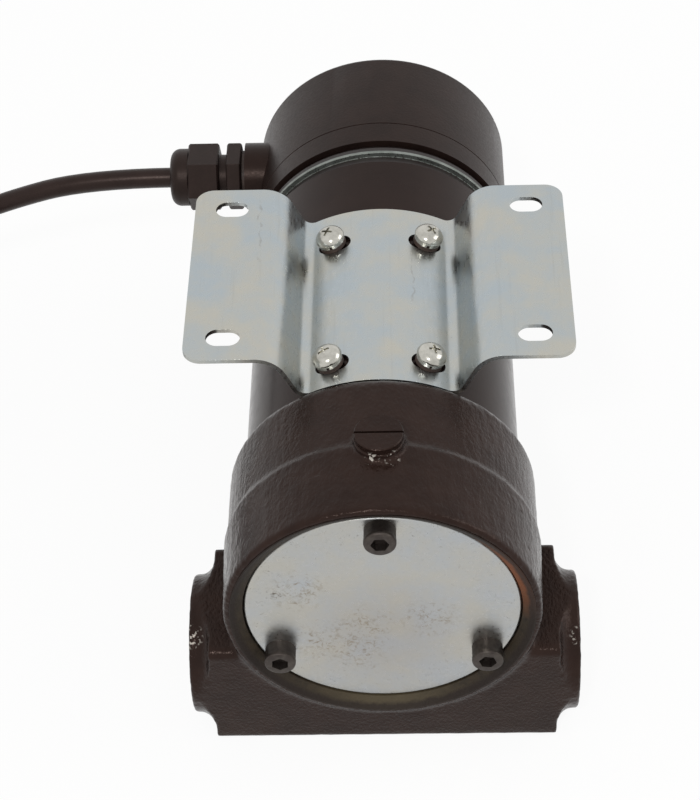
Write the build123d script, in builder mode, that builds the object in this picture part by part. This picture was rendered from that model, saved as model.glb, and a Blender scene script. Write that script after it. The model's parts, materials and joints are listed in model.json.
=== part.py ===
from build123d import *
import os
from math import asin, cos, degrees, pi, radians, sin, tan

# Self-priming vane pump with a permanent-magnet motor. Millimetres, +Z up from the flat foot of
# the port block. The shaft runs along Y with the pump head at the front (-Y), and the two ports
# face left and right along X.
os.makedirs("parts", exist_ok=True)

# Lengths along the shaft, counted back from the front face of the cover plate
casting_l = 54.5          # cover face to the back of the casting
can_l = 111.5             # visible length of the motor can
end_groove_l = 5.0        # necked part of the rear end plate
end_rim_l = 3.0           # rim of the rear end plate that shows beside the cap
cap_gap = 2.4             # open slit between that rim and the cap
cap_l = 50.1

# Height of the shaft over the foot
axis_z = 65.5

# Clearances and small cuts used in many places
seat_play = 0.1           # radial room of a spigot in its bore
fit_play = 0.03           # bearings, key and seal in their seats
screw_play = 0.05         # radial room of every thread in its hole
clearance_hole = 0.3      # radial room of a screw in a plain hole
running_gap = 0.3         # between parts that move past each other
drill_extra = 1.5         # a tapped hole is this much deeper than its screw
cut_over = 1.0            # a cut starts this far outside the face it opens

# Pump casting
rim_stand = 3.0           # the rim stands this far in front of the cover plate
rim_r = 49.9
rim_edge = 1.5            # roundness of the rim
band_r = 50.8             # front band of the head, a little thicker than the rest
band_l = 25.4
band_step_l = 2.0
body_r = 50.0
rear_round = 5.0
rear_edge_r = 45.9
bevel_r = 47.5            # outer edge of the turned recess for the cover
spigot_l = 4.0            # spigot that centres the can
spigot_wall = 8.2
block_w = 46.1            # port block, square section
block_round = 3.0
block_front = 1.5         # the block starts this far in front of the cover face
block_fillet = 2.0        # where the block meets the round head
port_face_x = 63.5
port_boss_l = 1.9         # straight part of the round boss at each port
port_boss_inset = 0.1     # the boss is this much inside the block's flat sides
port_neck_r = 5.0         # hollow corner between the block's end and the boss
port_thread_r = 15.15     # G1 thread, at its minor radius
port_thread_l = 19.0
port_lead_in = 1.6
port_rim_edge = 1.0
passage_r = 11.0
port_web = 24.0           # wall between the two passages
window_w = 10.0           # slots that join the passages to the pump chamber
window_inset = 2.0        # from the web
window_l = 20.0
window_top = -10.0
boss_r = 8.0              # boss for the priming plug
boss_top = 53.0
boss_l = 13.0

# Pump chamber and vanes
chamber_r = 27.5
chamber_l = 28.0
eccentricity = 3.5        # the chamber's centre lies this far above the shaft
vane_angles = (45, 135, 225, 315)
vane_t = 4.0
vane_h = 10.5
vane_side_play = 0.15
vane_home = 0.2           # a vane pushed home lies this far under the rotor's surface
vane_root_play = 0.3
vane_crown = 0.6          # rise of the rounded tip

# Cover plate and its screws
cover_r = 43.5
cover_t = 6.0
cover_play = 0.35
cover_edge = 0.6
o_ring_d = 1.4
o_ring_r = 29.4
o_ring_play = 0.2
screw_circle_r = 38.0
screw_angles = (90, 210, 330)
screw_r = 3.0
screw_head_r = 5.0
screw_head_h = 6.0
screw_thread_l = 10.0
hex_af = 5.0
hex_depth = 3.0
screw_head_edge = 0.5

# Priming plug
plug_depth = 24.4         # behind the cover face
plug_head_r = 7.6
plug_head_h = 2.0
plug_edge = 0.3
plug_slot_w = 1.6
plug_slot_h = 1.2
plug_thread_r = 4.85
plug_thread_l = 12.0
priming_hole_r = 3.0

# Bypass valve in the port block
valve_bore_r = 6.6
valve_seat_z = 25.5
valve_seat_r = 4.0
valve_disc_t = 3.0
valve_stem_r = 2.4
valve_stem_l = 5.0
valve_plug_r = 8.0
valve_plug_l = 8.0
valve_plug_sunk = 0.5
valve_plug_af = 8.0
valve_spring_wire = 1.2
valve_spring_r = 4.4
valve_spring_turns = 5
valve_inlet_r = 3.5
valve_outlet_r = 2.5

# Shaft, seal and bearings
shaft_r = 6.0
shaft_mid_r = 7.0
shaft_front = 7.0
shaft_hole_r = 7.5
seal_r = 12.0
seal_w = 7.0
seal_web = 2.5
bearing_r = 16.0
bearing_w = 10.0
bearing_split_r = 8.6
seal_lip = 2.5
shaft_edge = 0.5
key_w = 4.0
key_l = 18.0
key_inset = 5.0           # behind the cover plate

# Motor
can_r = 45.3
can_wall = 3.0
magnet_t = 6.2
magnet_play = 0.05
magnet_overhang = 4.0     # the magnets are this much longer than the core at each end
magnet_span = 130.0
core_r = 34.8
core_start = 18.5         # back of the casting to the armature core
slot_count = 12
slot_w = 3.2
slot_h = 13.0
winding_r = 32.0
winding_l = 10.0
winding_slope = 2.0
slot_play = 0.2
commutator_r = 14.0
commutator_l = 15.0
commutator_bars = 12
commutator_riser = 2.0
bar_gap_w = 0.8
bar_gap_h = 0.8
brush_w = 8.0
brush_d = 12.0
brush_h = 16.0
holder_wall = 1.0
holder_end = 38.5
holder_start = 17.0
holder_gap = 2.0          # between the windings and the brush holders
brush_play = 0.3
brush_spring_wire = 0.7
brush_spring_r = 2.6
brush_spring_turns = 3
card_t = 2.4
card_inner_r = 20.0
card_play = 0.4
tie_bolt_pitch = 38.2
tie_bolt_r = 2.5
tie_bolt_head_r = 4.0
tie_bolt_head_h = 3.5
tie_bolt_slot_w = 1.2
tie_bolt_slot_h = 1.4
tie_bolt_grip = 10.0      # length of thread in the casting

# Rear end plate and cap
end_spigot_front = 4.0
end_spigot_back = 8.0
end_neck_r = 43.5
end_web_back = 3.0        # web face behind the rim
end_ring_r = 36.0
cap_r = 46.4
cap_wall = 2.5
cap_back_t = 3.0
cap_edge = 2.5
cap_line_back = 10.0      # fine turned line round the cap
cap_line = 0.5
cap_ledge_t = 2.0
cap_ledge_w = 1.4
cap_post_r = 5.0
cap_post_pitch = 30.5
cap_screw_r = 2.0
cap_screw_head_r = 3.5
cap_screw_head_h = 4.0
cap_screw_grip = 6.0
cap_screw_sunk = 0.5
cap_screw_af = 3.0
cap_screw_socket = 2.0

# Terminal block behind the end plate
terminal_x = -12.0
terminal_w = 14.0
terminal_h = 26.0
terminal_l = 12.0
terminal_round = 1.5
terminal_rise = 7.0       # of each terminal over or under the shaft
terminal_hole_r = 2.2
terminal_hole_l = 6.0
lead_d = 2.6
lead_pitch = 1.6          # of each lead from the cord's middle

# Cable gland on the left of the cap
gland_inset = 30.1        # behind the cap's front edge
gland_z = 7.0             # over the shaft
gland_boss_r = 12.5
gland_boss_x = 51.4
gland_boss_in = 3.0       # the boss reaches this far into the cap
gland_thread_r = 9.3
gland_washer_t = 1.3
gland_washer_r = 11.2
gland_af = 22.0
gland_flange_t = 5.7
gland_collar_t = 2.9
gland_collar_r = 10.0
gland_nut_hex_l = 11.7
gland_nut_dome_l = 6.8
gland_dome_r = 10.8
gland_mouth_r = 4.3
gland_nut_wall = 2.0
gland_nut_short = 3.0     # the body's thread ends this far before the dome
gland_hex_edge = 0.6
gland_dome_round = 3.6
gland_bore_play = 0.6
gland_seal_sunk = 1.0     # the seal's face lies this far inside the mouth

# Mounting bracket, bent from plated sheet
sheet_t = 1.5
bracket_front = 55.3      # behind the cover face
bracket_l = 83.0
pad_top = 56.3            # over the shaft
pad_half = 61.8
pad_corner_r = 6.0
pad_slot_edge = 12.5      # from the pads' outer edges
pad_slot_inset = 10.2     # from the bracket's front and back edges
pad_slot_l = 11.0
pad_slot_w = 7.5
wall_foot_x = 25.0
wall_head_x = 33.0
foot_bend_r = 4.0
head_bend_r = 10.0
saddle_screw_angle = 19.5
saddle_screw_inset = (10.0, 15.1)   # from the front and from the back edge
saddle_slot_l = 11.5
saddle_slot_w = 7.0
saddle_slot_shifts = (0.35, 0.35, -0.15, 0.35)   # of each slot towards the middle
pan_r = 4.75
pan_h = 3.2
pan_round = 2.0
pan_thread_r = 2.5
recess_w = 1.1
recess_l = 5.4
recess_h = 1.4
rubber_washer_t = 1.6
lock_washer_t = 1.3
washer_r = 4.6
lock_gap_w = 0.8
pan_thread_short = 0.3    # the screws end this far before the inside of the can

# Supply cord, two-core, and its coil of unseen length
cord_d = 7.6
coil_x = -212.0
coil_y = 38.0
coil_mean_r = 40.0
coil_layers = 2
coil_rings = 3
tie_w = 4.8
tie_t = 1.3
core_d = 2.8
ring_hole_r = 4.2
ring_outer_r = 7.5
ring_t = 1.2
ring_apart = 10.0         # of each ring from the middle of the cord
ring_reach = 46.0         # from the end of the sheath to the rings' centres
barrel_wall = 0.6
barrel_l = 6.0
core_pitch = 1.7          # of each core from the cord's middle
floor_play = 0.1          # the cord lies this far over the floor
tie_play = 0.1

# Stations worked out from the lengths above
overall_l = screw_head_h + casting_l + can_l + end_groove_l + end_rim_l + cap_gap + cap_l
cover_y = screw_head_h - overall_l / 2
can_end = casting_l + can_l
rim_start = can_end + end_groove_l
rim_end = rim_start + end_rim_l
cap_start = rim_end + cap_gap
cap_end = cap_start + cap_l
chamber_end = cover_t + chamber_l
seal_start = chamber_end + seal_web
bearing_start = casting_l - bearing_w
spigot_r = can_r - can_wall - seat_play
rotor_r = chamber_r - eccentricity - running_gap
rotor_l = chamber_l - 2 * running_gap
vane_tip = rotor_r - vane_home
port_depth = block_w / 2 - block_front
port_z = block_w / 2
gland_depth = cap_start + gland_inset
gland_depth_y = cover_y + gland_depth
cap_bore_r = cap_r - cap_wall
holder_l = brush_d + 2 * (brush_play + holder_wall)
core_l = (
    can_l - core_start - winding_l - holder_gap - holder_l - card_t - end_spigot_front
)
magnet_l = core_l + 2 * magnet_overhang
magnet_start = core_start - magnet_overhang
pad_slot_x = pad_half - pad_slot_edge
shaft_line = Axis((0, 0, axis_z), (0, 1, 0))
turning_plane = Plane(origin=(0, cover_y, axis_z), x_dir=(0, 1, 0), z_dir=(1, 0, 0))


def station(depth):
    """Y of a depth behind the cover's front face."""
    return cover_y + depth


def facing_front(depth, x=0, z=0):
    """Plane across the shaft, seen from the front, with its origin given from the shaft."""
    return Plane(origin=(x, station(depth), axis_z + z), x_dir=(1, 0, 0), z_dir=(0, -1, 0))


def facing_right(x, depth, z):
    """Plane across X through a depth and a height over the foot."""
    return Plane(origin=(x, station(depth), z), x_dir=(0, 1, 0), z_dir=(1, 0, 0))


def facing_up(x, depth, z):
    """Level plane at a height over the foot."""
    return Plane(origin=(x, station(depth), z), x_dir=(1, 0, 0), z_dir=(0, 0, 1))


def facing_out(angle, depth, radius):
    """Plane on a round surface about the shaft, at an angle from the top towards +X."""
    a = radians(angle)
    out = Vector(sin(a), 0, cos(a))
    origin = Vector(0, station(depth), axis_z) + out * radius
    return Plane(origin=origin, x_dir=(out.Z, 0, -out.X), z_dir=out)


def facing_front_turned(angle, depth):
    """Plane across the shaft whose local X points out at an angle from +X, as a vane does."""
    a = radians(angle)
    return Plane(
        origin=(0, station(depth), axis_z), x_dir=(cos(a), 0, sin(a)), z_dir=(0, -1, 0)
    )


def turned_section(*points):
    """Closed section of (depth, radius) points, to be turned about the shaft."""
    with BuildSketch(turning_plane) as section:
        with BuildLine():
            Polyline(*points, close=True)
        make_face()
    return section.sketch


def save(builder, label):
    builder.part.label = label
    export_step(builder.part, f"parts/{label}.step")


# Pump casting
with BuildPart() as pump_casting:
    with BuildSketch(turning_plane):
        with BuildLine():
            Polyline(
                (casting_l, rear_edge_r),
                (casting_l, spigot_r),
                (casting_l + spigot_l, spigot_r),
                (casting_l + spigot_l, spigot_r - spigot_wall),
                (casting_l, spigot_r - spigot_wall),
                (casting_l, 0),
                (-rim_stand, 0),
                (-rim_stand, rim_r - rim_edge),
            )
            TangentArc(
                (-rim_stand, rim_r - rim_edge), (-rim_stand + rim_edge, rim_r), tangent=(0, 1)
            )
            Polyline(
                (-rim_stand + rim_edge, rim_r),
                (band_l - band_step_l, band_r),
                (band_l, body_r),
                (casting_l - rear_round, body_r),
            )
            TangentArc((casting_l - rear_round, body_r), (casting_l, rear_edge_r), tangent=(1, 0))
        make_face()
    revolve(axis=shaft_line)

    # Port block
    with BuildSketch(facing_right(0, port_depth, port_z)):
        RectangleRounded(block_w, block_w, block_round)
    extrude(amount=port_face_x, both=True)
    seams = pump_casting.edges().filter_by(
        lambda e: abs((e @ 0.5).Z - block_w) < 0.05 and abs((e @ 0.5).X) < rim_r
    )
    fillet(seams, block_fillet)

    # Each end of the block is turned down to a round boss, with a hollow corner behind it
    port_boss_r = block_w / 2 - port_boss_inset
    neck_start = port_face_x - port_boss_l
    neck_end = neck_start - port_neck_r
    for side in (-1, 1):
        port_plane = Plane(
            origin=(0, station(port_depth), port_z), x_dir=(side, 0, 0), z_dir=(0, -1, 0)
        )
        with BuildSketch(port_plane):
            with BuildLine():
                TangentArc(
                    (neck_start, port_boss_r),
                    (neck_end, port_boss_r + port_neck_r),
                    tangent=(-1, 0),
                )
                Polyline(
                    (neck_end, port_boss_r + port_neck_r),
                    (neck_end, block_w),
                    (port_face_x + cut_over, block_w),
                    (port_face_x + cut_over, port_boss_r),
                    (neck_start, port_boss_r),
                )
            make_face()
        revolve(axis=Axis(port_plane.origin, (1, 0, 0)), mode=Mode.SUBTRACT)
    boss_rims = pump_casting.edges().filter_by(GeomType.CIRCLE).filter_by(
        lambda e: abs(abs(e.center().X) - port_face_x) < 0.01
    )
    fillet(boss_rims, port_rim_edge)

    # Boss for the priming plug
    with BuildSketch(facing_up(0, plug_depth, axis_z + boss_top - boss_l)):
        Circle(boss_r)
    extrude(amount=boss_l)

    # Turned recess for the cover, pump chamber, seal bore and bearing seat
    recess_r = cover_r + cover_play
    revolve(
        turned_section(
            (-rim_stand, 0), (-rim_stand, bevel_r), (0, recess_r), (cover_t, recess_r), (cover_t, 0)
        ),
        axis=shaft_line,
        mode=Mode.SUBTRACT,
    )
    with BuildSketch(facing_front(cover_t, z=eccentricity)):
        Circle(chamber_r)
    extrude(amount=-chamber_l, mode=Mode.SUBTRACT)
    with BuildSketch(facing_front(cover_t, z=eccentricity)):
        Circle(o_ring_r + o_ring_d / 2 + o_ring_play)
        Circle(o_ring_r - o_ring_d / 2 - o_ring_play, mode=Mode.SUBTRACT)
    extrude(amount=-o_ring_d, mode=Mode.SUBTRACT)
    revolve(
        turned_section(
            (chamber_end, 0),
            (chamber_end, shaft_hole_r),
            (seal_start, shaft_hole_r),
            (seal_start, seal_r),
            (bearing_start, seal_r),
            (bearing_start, bearing_r),
            (casting_l, bearing_r),
            (casting_l, 0),
        ),
        axis=shaft_line,
        mode=Mode.SUBTRACT,
    )

    # Tapped holes for the cover screws and the tie bolts
    with BuildSketch(facing_front(cover_t)):
        for angle in screw_angles:
            with PolarLocations(screw_circle_r, 1, start_angle=angle):
                Circle(screw_r + screw_play)
    extrude(amount=-(screw_thread_l + drill_extra), mode=Mode.SUBTRACT)
    with BuildSketch(facing_front(casting_l + spigot_l)):
        with GridLocations(2 * tie_bolt_pitch, 1, 2, 1):
            Circle(tie_bolt_r + screw_play)
    extrude(amount=spigot_l + tie_bolt_grip + drill_extra, mode=Mode.SUBTRACT)

    # Ports, passages and the slots up into the chamber
    for side in (-1, 1):
        with BuildSketch(facing_right(side * port_face_x, port_depth, port_z)):
            Circle(port_thread_r + port_lead_in)
        extrude(amount=-side * port_lead_in, taper=45, mode=Mode.SUBTRACT)
        with BuildSketch(facing_right(side * port_face_x, port_depth, port_z)):
            Circle(port_thread_r)
        extrude(amount=-side * port_thread_l, mode=Mode.SUBTRACT)
        with BuildSketch(facing_right(side * (port_face_x - port_thread_l), port_depth, port_z)):
            Circle(passage_r)
        extrude(
            amount=-side * (port_face_x - port_thread_l - port_web / 2), mode=Mode.SUBTRACT
        )
        window_x = side * (port_web / 2 + window_inset + window_w / 2)
        with BuildSketch(facing_up(window_x, port_depth, port_z)):
            Rectangle(window_w, window_l)
        extrude(amount=axis_z + window_top - port_z, mode=Mode.SUBTRACT)

    # Bypass valve: bore from the foot, seat, and its two cross passages
    with BuildSketch(facing_up(0, port_depth, 0)):
        Circle(valve_plug_r + screw_play)
    extrude(amount=valve_plug_l + valve_plug_sunk, mode=Mode.SUBTRACT)
    with BuildSketch(facing_up(0, port_depth, 0)):
        Circle(valve_bore_r)
    extrude(amount=valve_seat_z, mode=Mode.SUBTRACT)
    with BuildSketch(facing_up(0, port_depth, valve_seat_z)):
        Circle(valve_seat_r)
    extrude(amount=valve_seat_r, mode=Mode.SUBTRACT)
    with BuildSketch(facing_right(0, port_depth, valve_seat_z + valve_seat_r)):
        Circle(valve_outlet_r)
    extrude(amount=port_web / 2 + cut_over, mode=Mode.SUBTRACT)
    with BuildSketch(facing_right(0, port_depth, valve_seat_z - valve_bore_r)):
        Circle(valve_inlet_r)
    extrude(amount=-port_web / 2 - cut_over, mode=Mode.SUBTRACT)

    # Priming hole from the boss down to the chamber
    with BuildSketch(facing_up(0, plug_depth, axis_z + boss_top)):
        Circle(plug_thread_r + screw_play)
    extrude(amount=-plug_thread_l - drill_extra, mode=Mode.SUBTRACT)
    with BuildSketch(facing_up(0, plug_depth, axis_z + boss_top - plug_thread_l)):
        Circle(priming_hole_r)
    extrude(amount=-(boss_top - plug_thread_l - chamber_r), mode=Mode.SUBTRACT)
save(pump_casting, "pump_casting")

# Priming plug, slotted
with BuildPart() as priming_plug:
    with BuildSketch(facing_up(0, plug_depth, axis_z + boss_top)):
        Circle(plug_head_r)
    extrude(amount=plug_head_h)
    chamfer(priming_plug.edges().group_by(Axis.Z)[-1], plug_edge)
    with BuildSketch(facing_up(0, plug_depth, axis_z + boss_top + plug_head_h)):
        Rectangle(2 * (plug_head_r + cut_over), plug_slot_w)
    extrude(amount=-plug_slot_h, mode=Mode.SUBTRACT)
    with BuildSketch(facing_up(0, plug_depth, axis_z + boss_top)):
        Circle(plug_thread_r)
    extrude(amount=-plug_thread_l)
save(priming_plug, "priming_plug")

# Cover plate
with BuildPart() as cover_plate:
    with BuildSketch(facing_front(0)):
        Circle(cover_r)
        for angle in screw_angles:
            with PolarLocations(screw_circle_r, 1, start_angle=angle):
                Circle(screw_r + clearance_hole, mode=Mode.SUBTRACT)
    extrude(amount=-cover_t)
    outer_edges = cover_plate.edges().filter_by(
        lambda e: e.geom_type == GeomType.CIRCLE and e.radius > cover_r - 0.1
    )
    chamfer(outer_edges, cover_edge)
save(cover_plate, "cover_plate")

# O-ring between cover and casting, round the eccentric chamber
with BuildPart() as cover_o_ring:
    ring_centre = facing_right(0, cover_t + o_ring_d / 2, axis_z + eccentricity + o_ring_r)
    with BuildSketch(ring_centre):
        Circle(o_ring_d / 2)
    revolve(axis=Axis((0, 0, axis_z + eccentricity), (0, 1, 0)))
save(cover_o_ring, "cover_o_ring")

# Three socket cap screws
with BuildPart() as cover_screws:
    for angle in screw_angles:
        with BuildSketch(facing_front(0)):
            with PolarLocations(screw_circle_r, 1, start_angle=angle):
                Circle(screw_head_r)
        extrude(amount=screw_head_h)
    chamfer(cover_screws.edges().group_by(Axis.Y)[0], screw_head_edge)
    for angle in screw_angles:
        with BuildSketch(facing_front(-screw_head_h)):
            with PolarLocations(screw_circle_r, 1, start_angle=angle):
                RegularPolygon(hex_af / 2, 6, major_radius=False)
        extrude(amount=-hex_depth, mode=Mode.SUBTRACT)
        with BuildSketch(facing_front(0)):
            with PolarLocations(screw_circle_r, 1, start_angle=angle):
                Circle(screw_r)
        extrude(amount=-(cover_t + screw_thread_l))
save(cover_screws, "cover_screws")

# Rotor with four slots
with BuildPart() as pump_rotor:
    with BuildSketch(facing_front(cover_t + running_gap)):
        Circle(rotor_r)
        Circle(shaft_r + fit_play, mode=Mode.SUBTRACT)
        with Locations((0, shaft_r)):
            Rectangle(key_w + 2 * fit_play, key_w + 2 * fit_play, mode=Mode.SUBTRACT)
    extrude(amount=-rotor_l)
    slot_root = vane_tip - vane_h - vane_root_play
    for angle in vane_angles:
        with BuildSketch(facing_front_turned(angle, cover_t + running_gap)):
            with Locations(((rotor_r + cut_over + slot_root) / 2, 0)):
                Rectangle(rotor_r + cut_over - slot_root, vane_t + 2 * vane_side_play)
        extrude(amount=-rotor_l, mode=Mode.SUBTRACT)
save(pump_rotor, "pump_rotor")

# Four vanes, pushed home in their slots
for number, angle in enumerate(vane_angles, start=1):
    with BuildPart() as vane:
        with BuildSketch(facing_front_turned(angle, cover_t + running_gap)):
            with BuildLine():
                Polyline(
                    (vane_tip - vane_crown, vane_t / 2),
                    (vane_tip - vane_h, vane_t / 2),
                    (vane_tip - vane_h, -vane_t / 2),
                    (vane_tip - vane_crown, -vane_t / 2),
                )
                ThreePointArc(
                    (vane_tip - vane_crown, -vane_t / 2), (vane_tip, 0), (vane_tip - vane_crown, vane_t / 2)
                )
            make_face()
        extrude(amount=-rotor_l)
    save(vane, f"vane_{number}")

# Rotor key
with BuildPart() as rotor_key:
    with BuildSketch(facing_front(cover_t + key_inset)):
        with Locations((0, shaft_r)):
            Rectangle(key_w, key_w)
    extrude(amount=-key_l)
save(rotor_key, "rotor_key")

# Bypass poppet, its spring and its plug
poppet_top = valve_seat_z - running_gap
with BuildPart() as bypass_poppet:
    with BuildSketch(facing_up(0, port_depth, poppet_top)):
        Circle(valve_bore_r - running_gap)
    extrude(amount=-valve_disc_t)
    with BuildSketch(facing_up(0, port_depth, poppet_top - valve_disc_t)):
        Circle(valve_stem_r)
    extrude(amount=-valve_stem_l)
save(bypass_poppet, "bypass_poppet")

valve_plug_top = valve_plug_sunk + valve_plug_l
with BuildPart() as bypass_plug:
    with BuildSketch(facing_up(0, port_depth, valve_plug_sunk)):
        Circle(valve_plug_r)
        RegularPolygon(valve_plug_af / 2, 6, major_radius=False, mode=Mode.SUBTRACT)
    extrude(amount=valve_plug_l / 2)
    with BuildSketch(facing_up(0, port_depth, valve_plug_sunk + valve_plug_l / 2)):
        Circle(valve_plug_r)
    extrude(amount=valve_plug_l / 2)
save(bypass_plug, "bypass_plug")


def coil_spring(base, length, mean_r, wire_d, turns):
    """Round-wire compression spring standing on a plane."""
    pitch = (length - wire_d) / turns
    with BuildPart() as spring:
        with BuildLine(base.offset(wire_d / 2)) as path:
            Helix(pitch, length - wire_d, mean_r)
        with BuildSketch(Plane(origin=path.line @ 0, z_dir=path.line % 0)):
            Circle(wire_d / 2)
        sweep()
    return spring


bypass_spring = coil_spring(
    facing_up(0, port_depth, valve_plug_top),
    poppet_top - valve_disc_t - valve_plug_top,
    valve_spring_r,
    valve_spring_wire,
    valve_spring_turns,
)
save(bypass_spring, "bypass_spring")

# Shaft seal
with BuildPart() as shaft_seal:
    revolve(
        turned_section(
            (seal_start, shaft_r + fit_play),
            (seal_start, seal_r - fit_play),
            (seal_start + seal_w, seal_r - fit_play),
            (seal_start + seal_w, shaft_r + seal_lip),
            (seal_start + seal_lip, shaft_r + seal_lip),
            (seal_start + seal_lip, shaft_r + fit_play),
        ),
        axis=shaft_line,
    )
save(shaft_seal, "shaft_seal")

# Ball bearings, each as its shielded outer ring and its inner ring
bearing_seats = {"front": bearing_start, "rear": can_end - end_spigot_front}
for place, start in bearing_seats.items():
    with BuildPart() as outer_ring:
        revolve(
            turned_section(
                (start, bearing_split_r + running_gap),
                (start, bearing_r - fit_play),
                (start + bearing_w, bearing_r - fit_play),
                (start + bearing_w, bearing_split_r + running_gap),
            ),
            axis=shaft_line,
        )
    save(outer_ring, f"{place}_bearing_outer")
    with BuildPart() as inner_ring:
        revolve(
            turned_section(
                (start, shaft_r + fit_play),
                (start, bearing_split_r),
                (start + bearing_w, bearing_split_r),
                (start + bearing_w, shaft_r + fit_play),
            ),
            axis=shaft_line,
        )
    save(inner_ring, f"{place}_bearing_inner")

# Shaft through pump and motor
rear_bearing_end = bearing_seats["rear"] + bearing_w
with BuildPart() as motor_shaft:
    revolve(
        turned_section(
            (shaft_front, 0),
            (shaft_front, shaft_r - shaft_edge),
            (shaft_front + shaft_edge, shaft_r),
            (casting_l, shaft_r),
            (casting_l, shaft_mid_r),
            (bearing_seats["rear"], shaft_mid_r),
            (bearing_seats["rear"], shaft_r),
            (rear_bearing_end - shaft_edge, shaft_r),
            (rear_bearing_end - shaft_edge, 0),
        ),
        axis=shaft_line,
    )
    with BuildSketch(facing_front(cover_t + key_inset - fit_play)):
        with Locations((0, shaft_r)):
            Rectangle(key_w + 2 * fit_play, key_w + 2 * fit_play)
    extrude(amount=-key_l - 2 * fit_play, mode=Mode.SUBTRACT)
save(motor_shaft, "motor_shaft")

# Bracket screws' places: angle from the top, and depth behind the cover
saddle_screws = [
    (side * saddle_screw_angle, depth)
    for side in (-1, 1)
    for depth in (
        bracket_front + saddle_screw_inset[0],
        bracket_front + bracket_l - saddle_screw_inset[1],
    )
]

# Motor can, a drawn steel tube with four tapped holes for the bracket
with BuildPart() as motor_can:
    revolve(
        turned_section(
            (casting_l, can_r - can_wall), (casting_l, can_r), (can_end, can_r),
            (can_end, can_r - can_wall),
        ),
        axis=shaft_line,
    )
    for angle, depth in saddle_screws:
        with BuildSketch(facing_out(angle, depth, can_r + cut_over)):
            Circle(pan_thread_r + screw_play)
        extrude(amount=-can_wall - 2 * cut_over, mode=Mode.SUBTRACT)
save(motor_can, "motor_can")

# Two magnets inside the can, over and under the armature
magnet_outer = can_r - can_wall - magnet_play
with BuildPart() as magnets:
    for lift in (90, 270):
        with BuildSketch(facing_front(casting_l + magnet_start)):
            with BuildLine():
                first, sweep_angle = lift - magnet_span / 2, magnet_span
                outer = CenterArc((0, 0), magnet_outer, first, sweep_angle)
                inner = CenterArc((0, 0), magnet_outer - magnet_t, first, sweep_angle)
                Line(outer @ 0, inner @ 0)
                Line(outer @ 1, inner @ 1)
            make_face()
        extrude(amount=-magnet_l)
save(magnets, "magnets")

# Armature: slotted core, windings and commutator
core_front = casting_l + core_start
core_back = core_front + core_l
slot_angles = [i * 360 / slot_count for i in range(slot_count)]
with BuildPart() as armature_core:
    with BuildSketch(facing_front(core_front)):
        Circle(core_r)
        Circle(shaft_mid_r + fit_play, mode=Mode.SUBTRACT)
        for angle in slot_angles:
            with PolarLocations(core_r + (cut_over - slot_h) / 2, 1, start_angle=angle):
                Rectangle(slot_h + cut_over, slot_w, mode=Mode.SUBTRACT)
    extrude(amount=-core_l)
save(armature_core, "armature_core")

fill_inner = core_r - slot_h + slot_play
with BuildPart() as armature_windings:
    for start in (core_front - winding_l, core_back):
        revolve(
            turned_section(
                (start, core_r - slot_h),
                (start + winding_slope, winding_r),
                (start + winding_l - winding_slope, winding_r),
                (start + winding_l, core_r - slot_h),
            ),
            axis=shaft_line,
        )
    with BuildSketch(facing_front(core_front - winding_l / 2)):
        for angle in slot_angles:
            with PolarLocations((winding_r + fill_inner) / 2, 1, start_angle=angle):
                Rectangle(winding_r - fill_inner - slot_play, slot_w - slot_play)
    extrude(amount=-core_l - winding_l)
save(armature_windings, "armature_windings")

brush_depth = can_end - end_spigot_front - card_t - holder_l / 2
commutator_start = brush_depth - commutator_l / 2
with BuildPart() as commutator:
    with BuildSketch(facing_front(commutator_start)):
        Circle(commutator_r)
        Circle(shaft_mid_r + fit_play, mode=Mode.SUBTRACT)
        with PolarLocations(commutator_r, commutator_bars):
            Rectangle(2 * bar_gap_h, bar_gap_w, mode=Mode.SUBTRACT)
    extrude(amount=-commutator_l)
    with BuildSketch(facing_front(core_back + winding_l)):
        Circle(commutator_r + commutator_riser)
        Circle(shaft_mid_r + fit_play, mode=Mode.SUBTRACT)
    extrude(amount=-(commutator_start - core_back - winding_l))
save(commutator, "commutator")

# Brush card with its two box holders, brushes and springs, above and below the commutator
card_front = can_end - end_spigot_front - card_t
with BuildPart() as brush_card:
    with BuildSketch(facing_front(card_front)):
        Circle(spigot_r - card_play)
        Circle(card_inner_r, mode=Mode.SUBTRACT)
        with GridLocations(2 * tie_bolt_pitch, 1, 2, 1):
            Circle(tie_bolt_r + clearance_hole, mode=Mode.SUBTRACT)
    extrude(amount=-card_t)
save(brush_card, "brush_card")

with BuildPart() as brush_holders:
    for side in (-1, 1):
        with BuildSketch(facing_up(0, brush_depth, axis_z + side * holder_start)):
            Rectangle(brush_w + 2 * (brush_play + holder_wall), holder_l)
            Rectangle(brush_w + 2 * brush_play, brush_d + 2 * brush_play, mode=Mode.SUBTRACT)
        extrude(amount=side * (holder_end - holder_wall - holder_start))
        with BuildSketch(facing_up(0, brush_depth, axis_z + side * (holder_end - holder_wall))):
            Rectangle(brush_w + 2 * (brush_play + holder_wall), holder_l)
        extrude(amount=side * holder_wall)
save(brush_holders, "brush_holders")

brush_inner = commutator_r + running_gap
brush_outer = brush_inner + brush_h
brush_spring_l = holder_end - holder_wall - brush_outer
for side, place in ((1, "upper"), (-1, "lower")):
    with BuildPart() as brush:
        with BuildSketch(facing_up(0, brush_depth, axis_z + side * brush_inner)):
            Rectangle(brush_w, brush_d)
        extrude(amount=side * brush_h)
    save(brush, f"{place}_brush")
    spring_foot = brush_outer if side > 0 else -(holder_end - holder_wall)
    brush_spring = coil_spring(
        facing_up(0, brush_depth, axis_z + spring_foot),
        brush_spring_l,
        brush_spring_r,
        brush_spring_wire,
        brush_spring_turns,
    )
    save(brush_spring, f"{place}_brush_spring")

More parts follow.
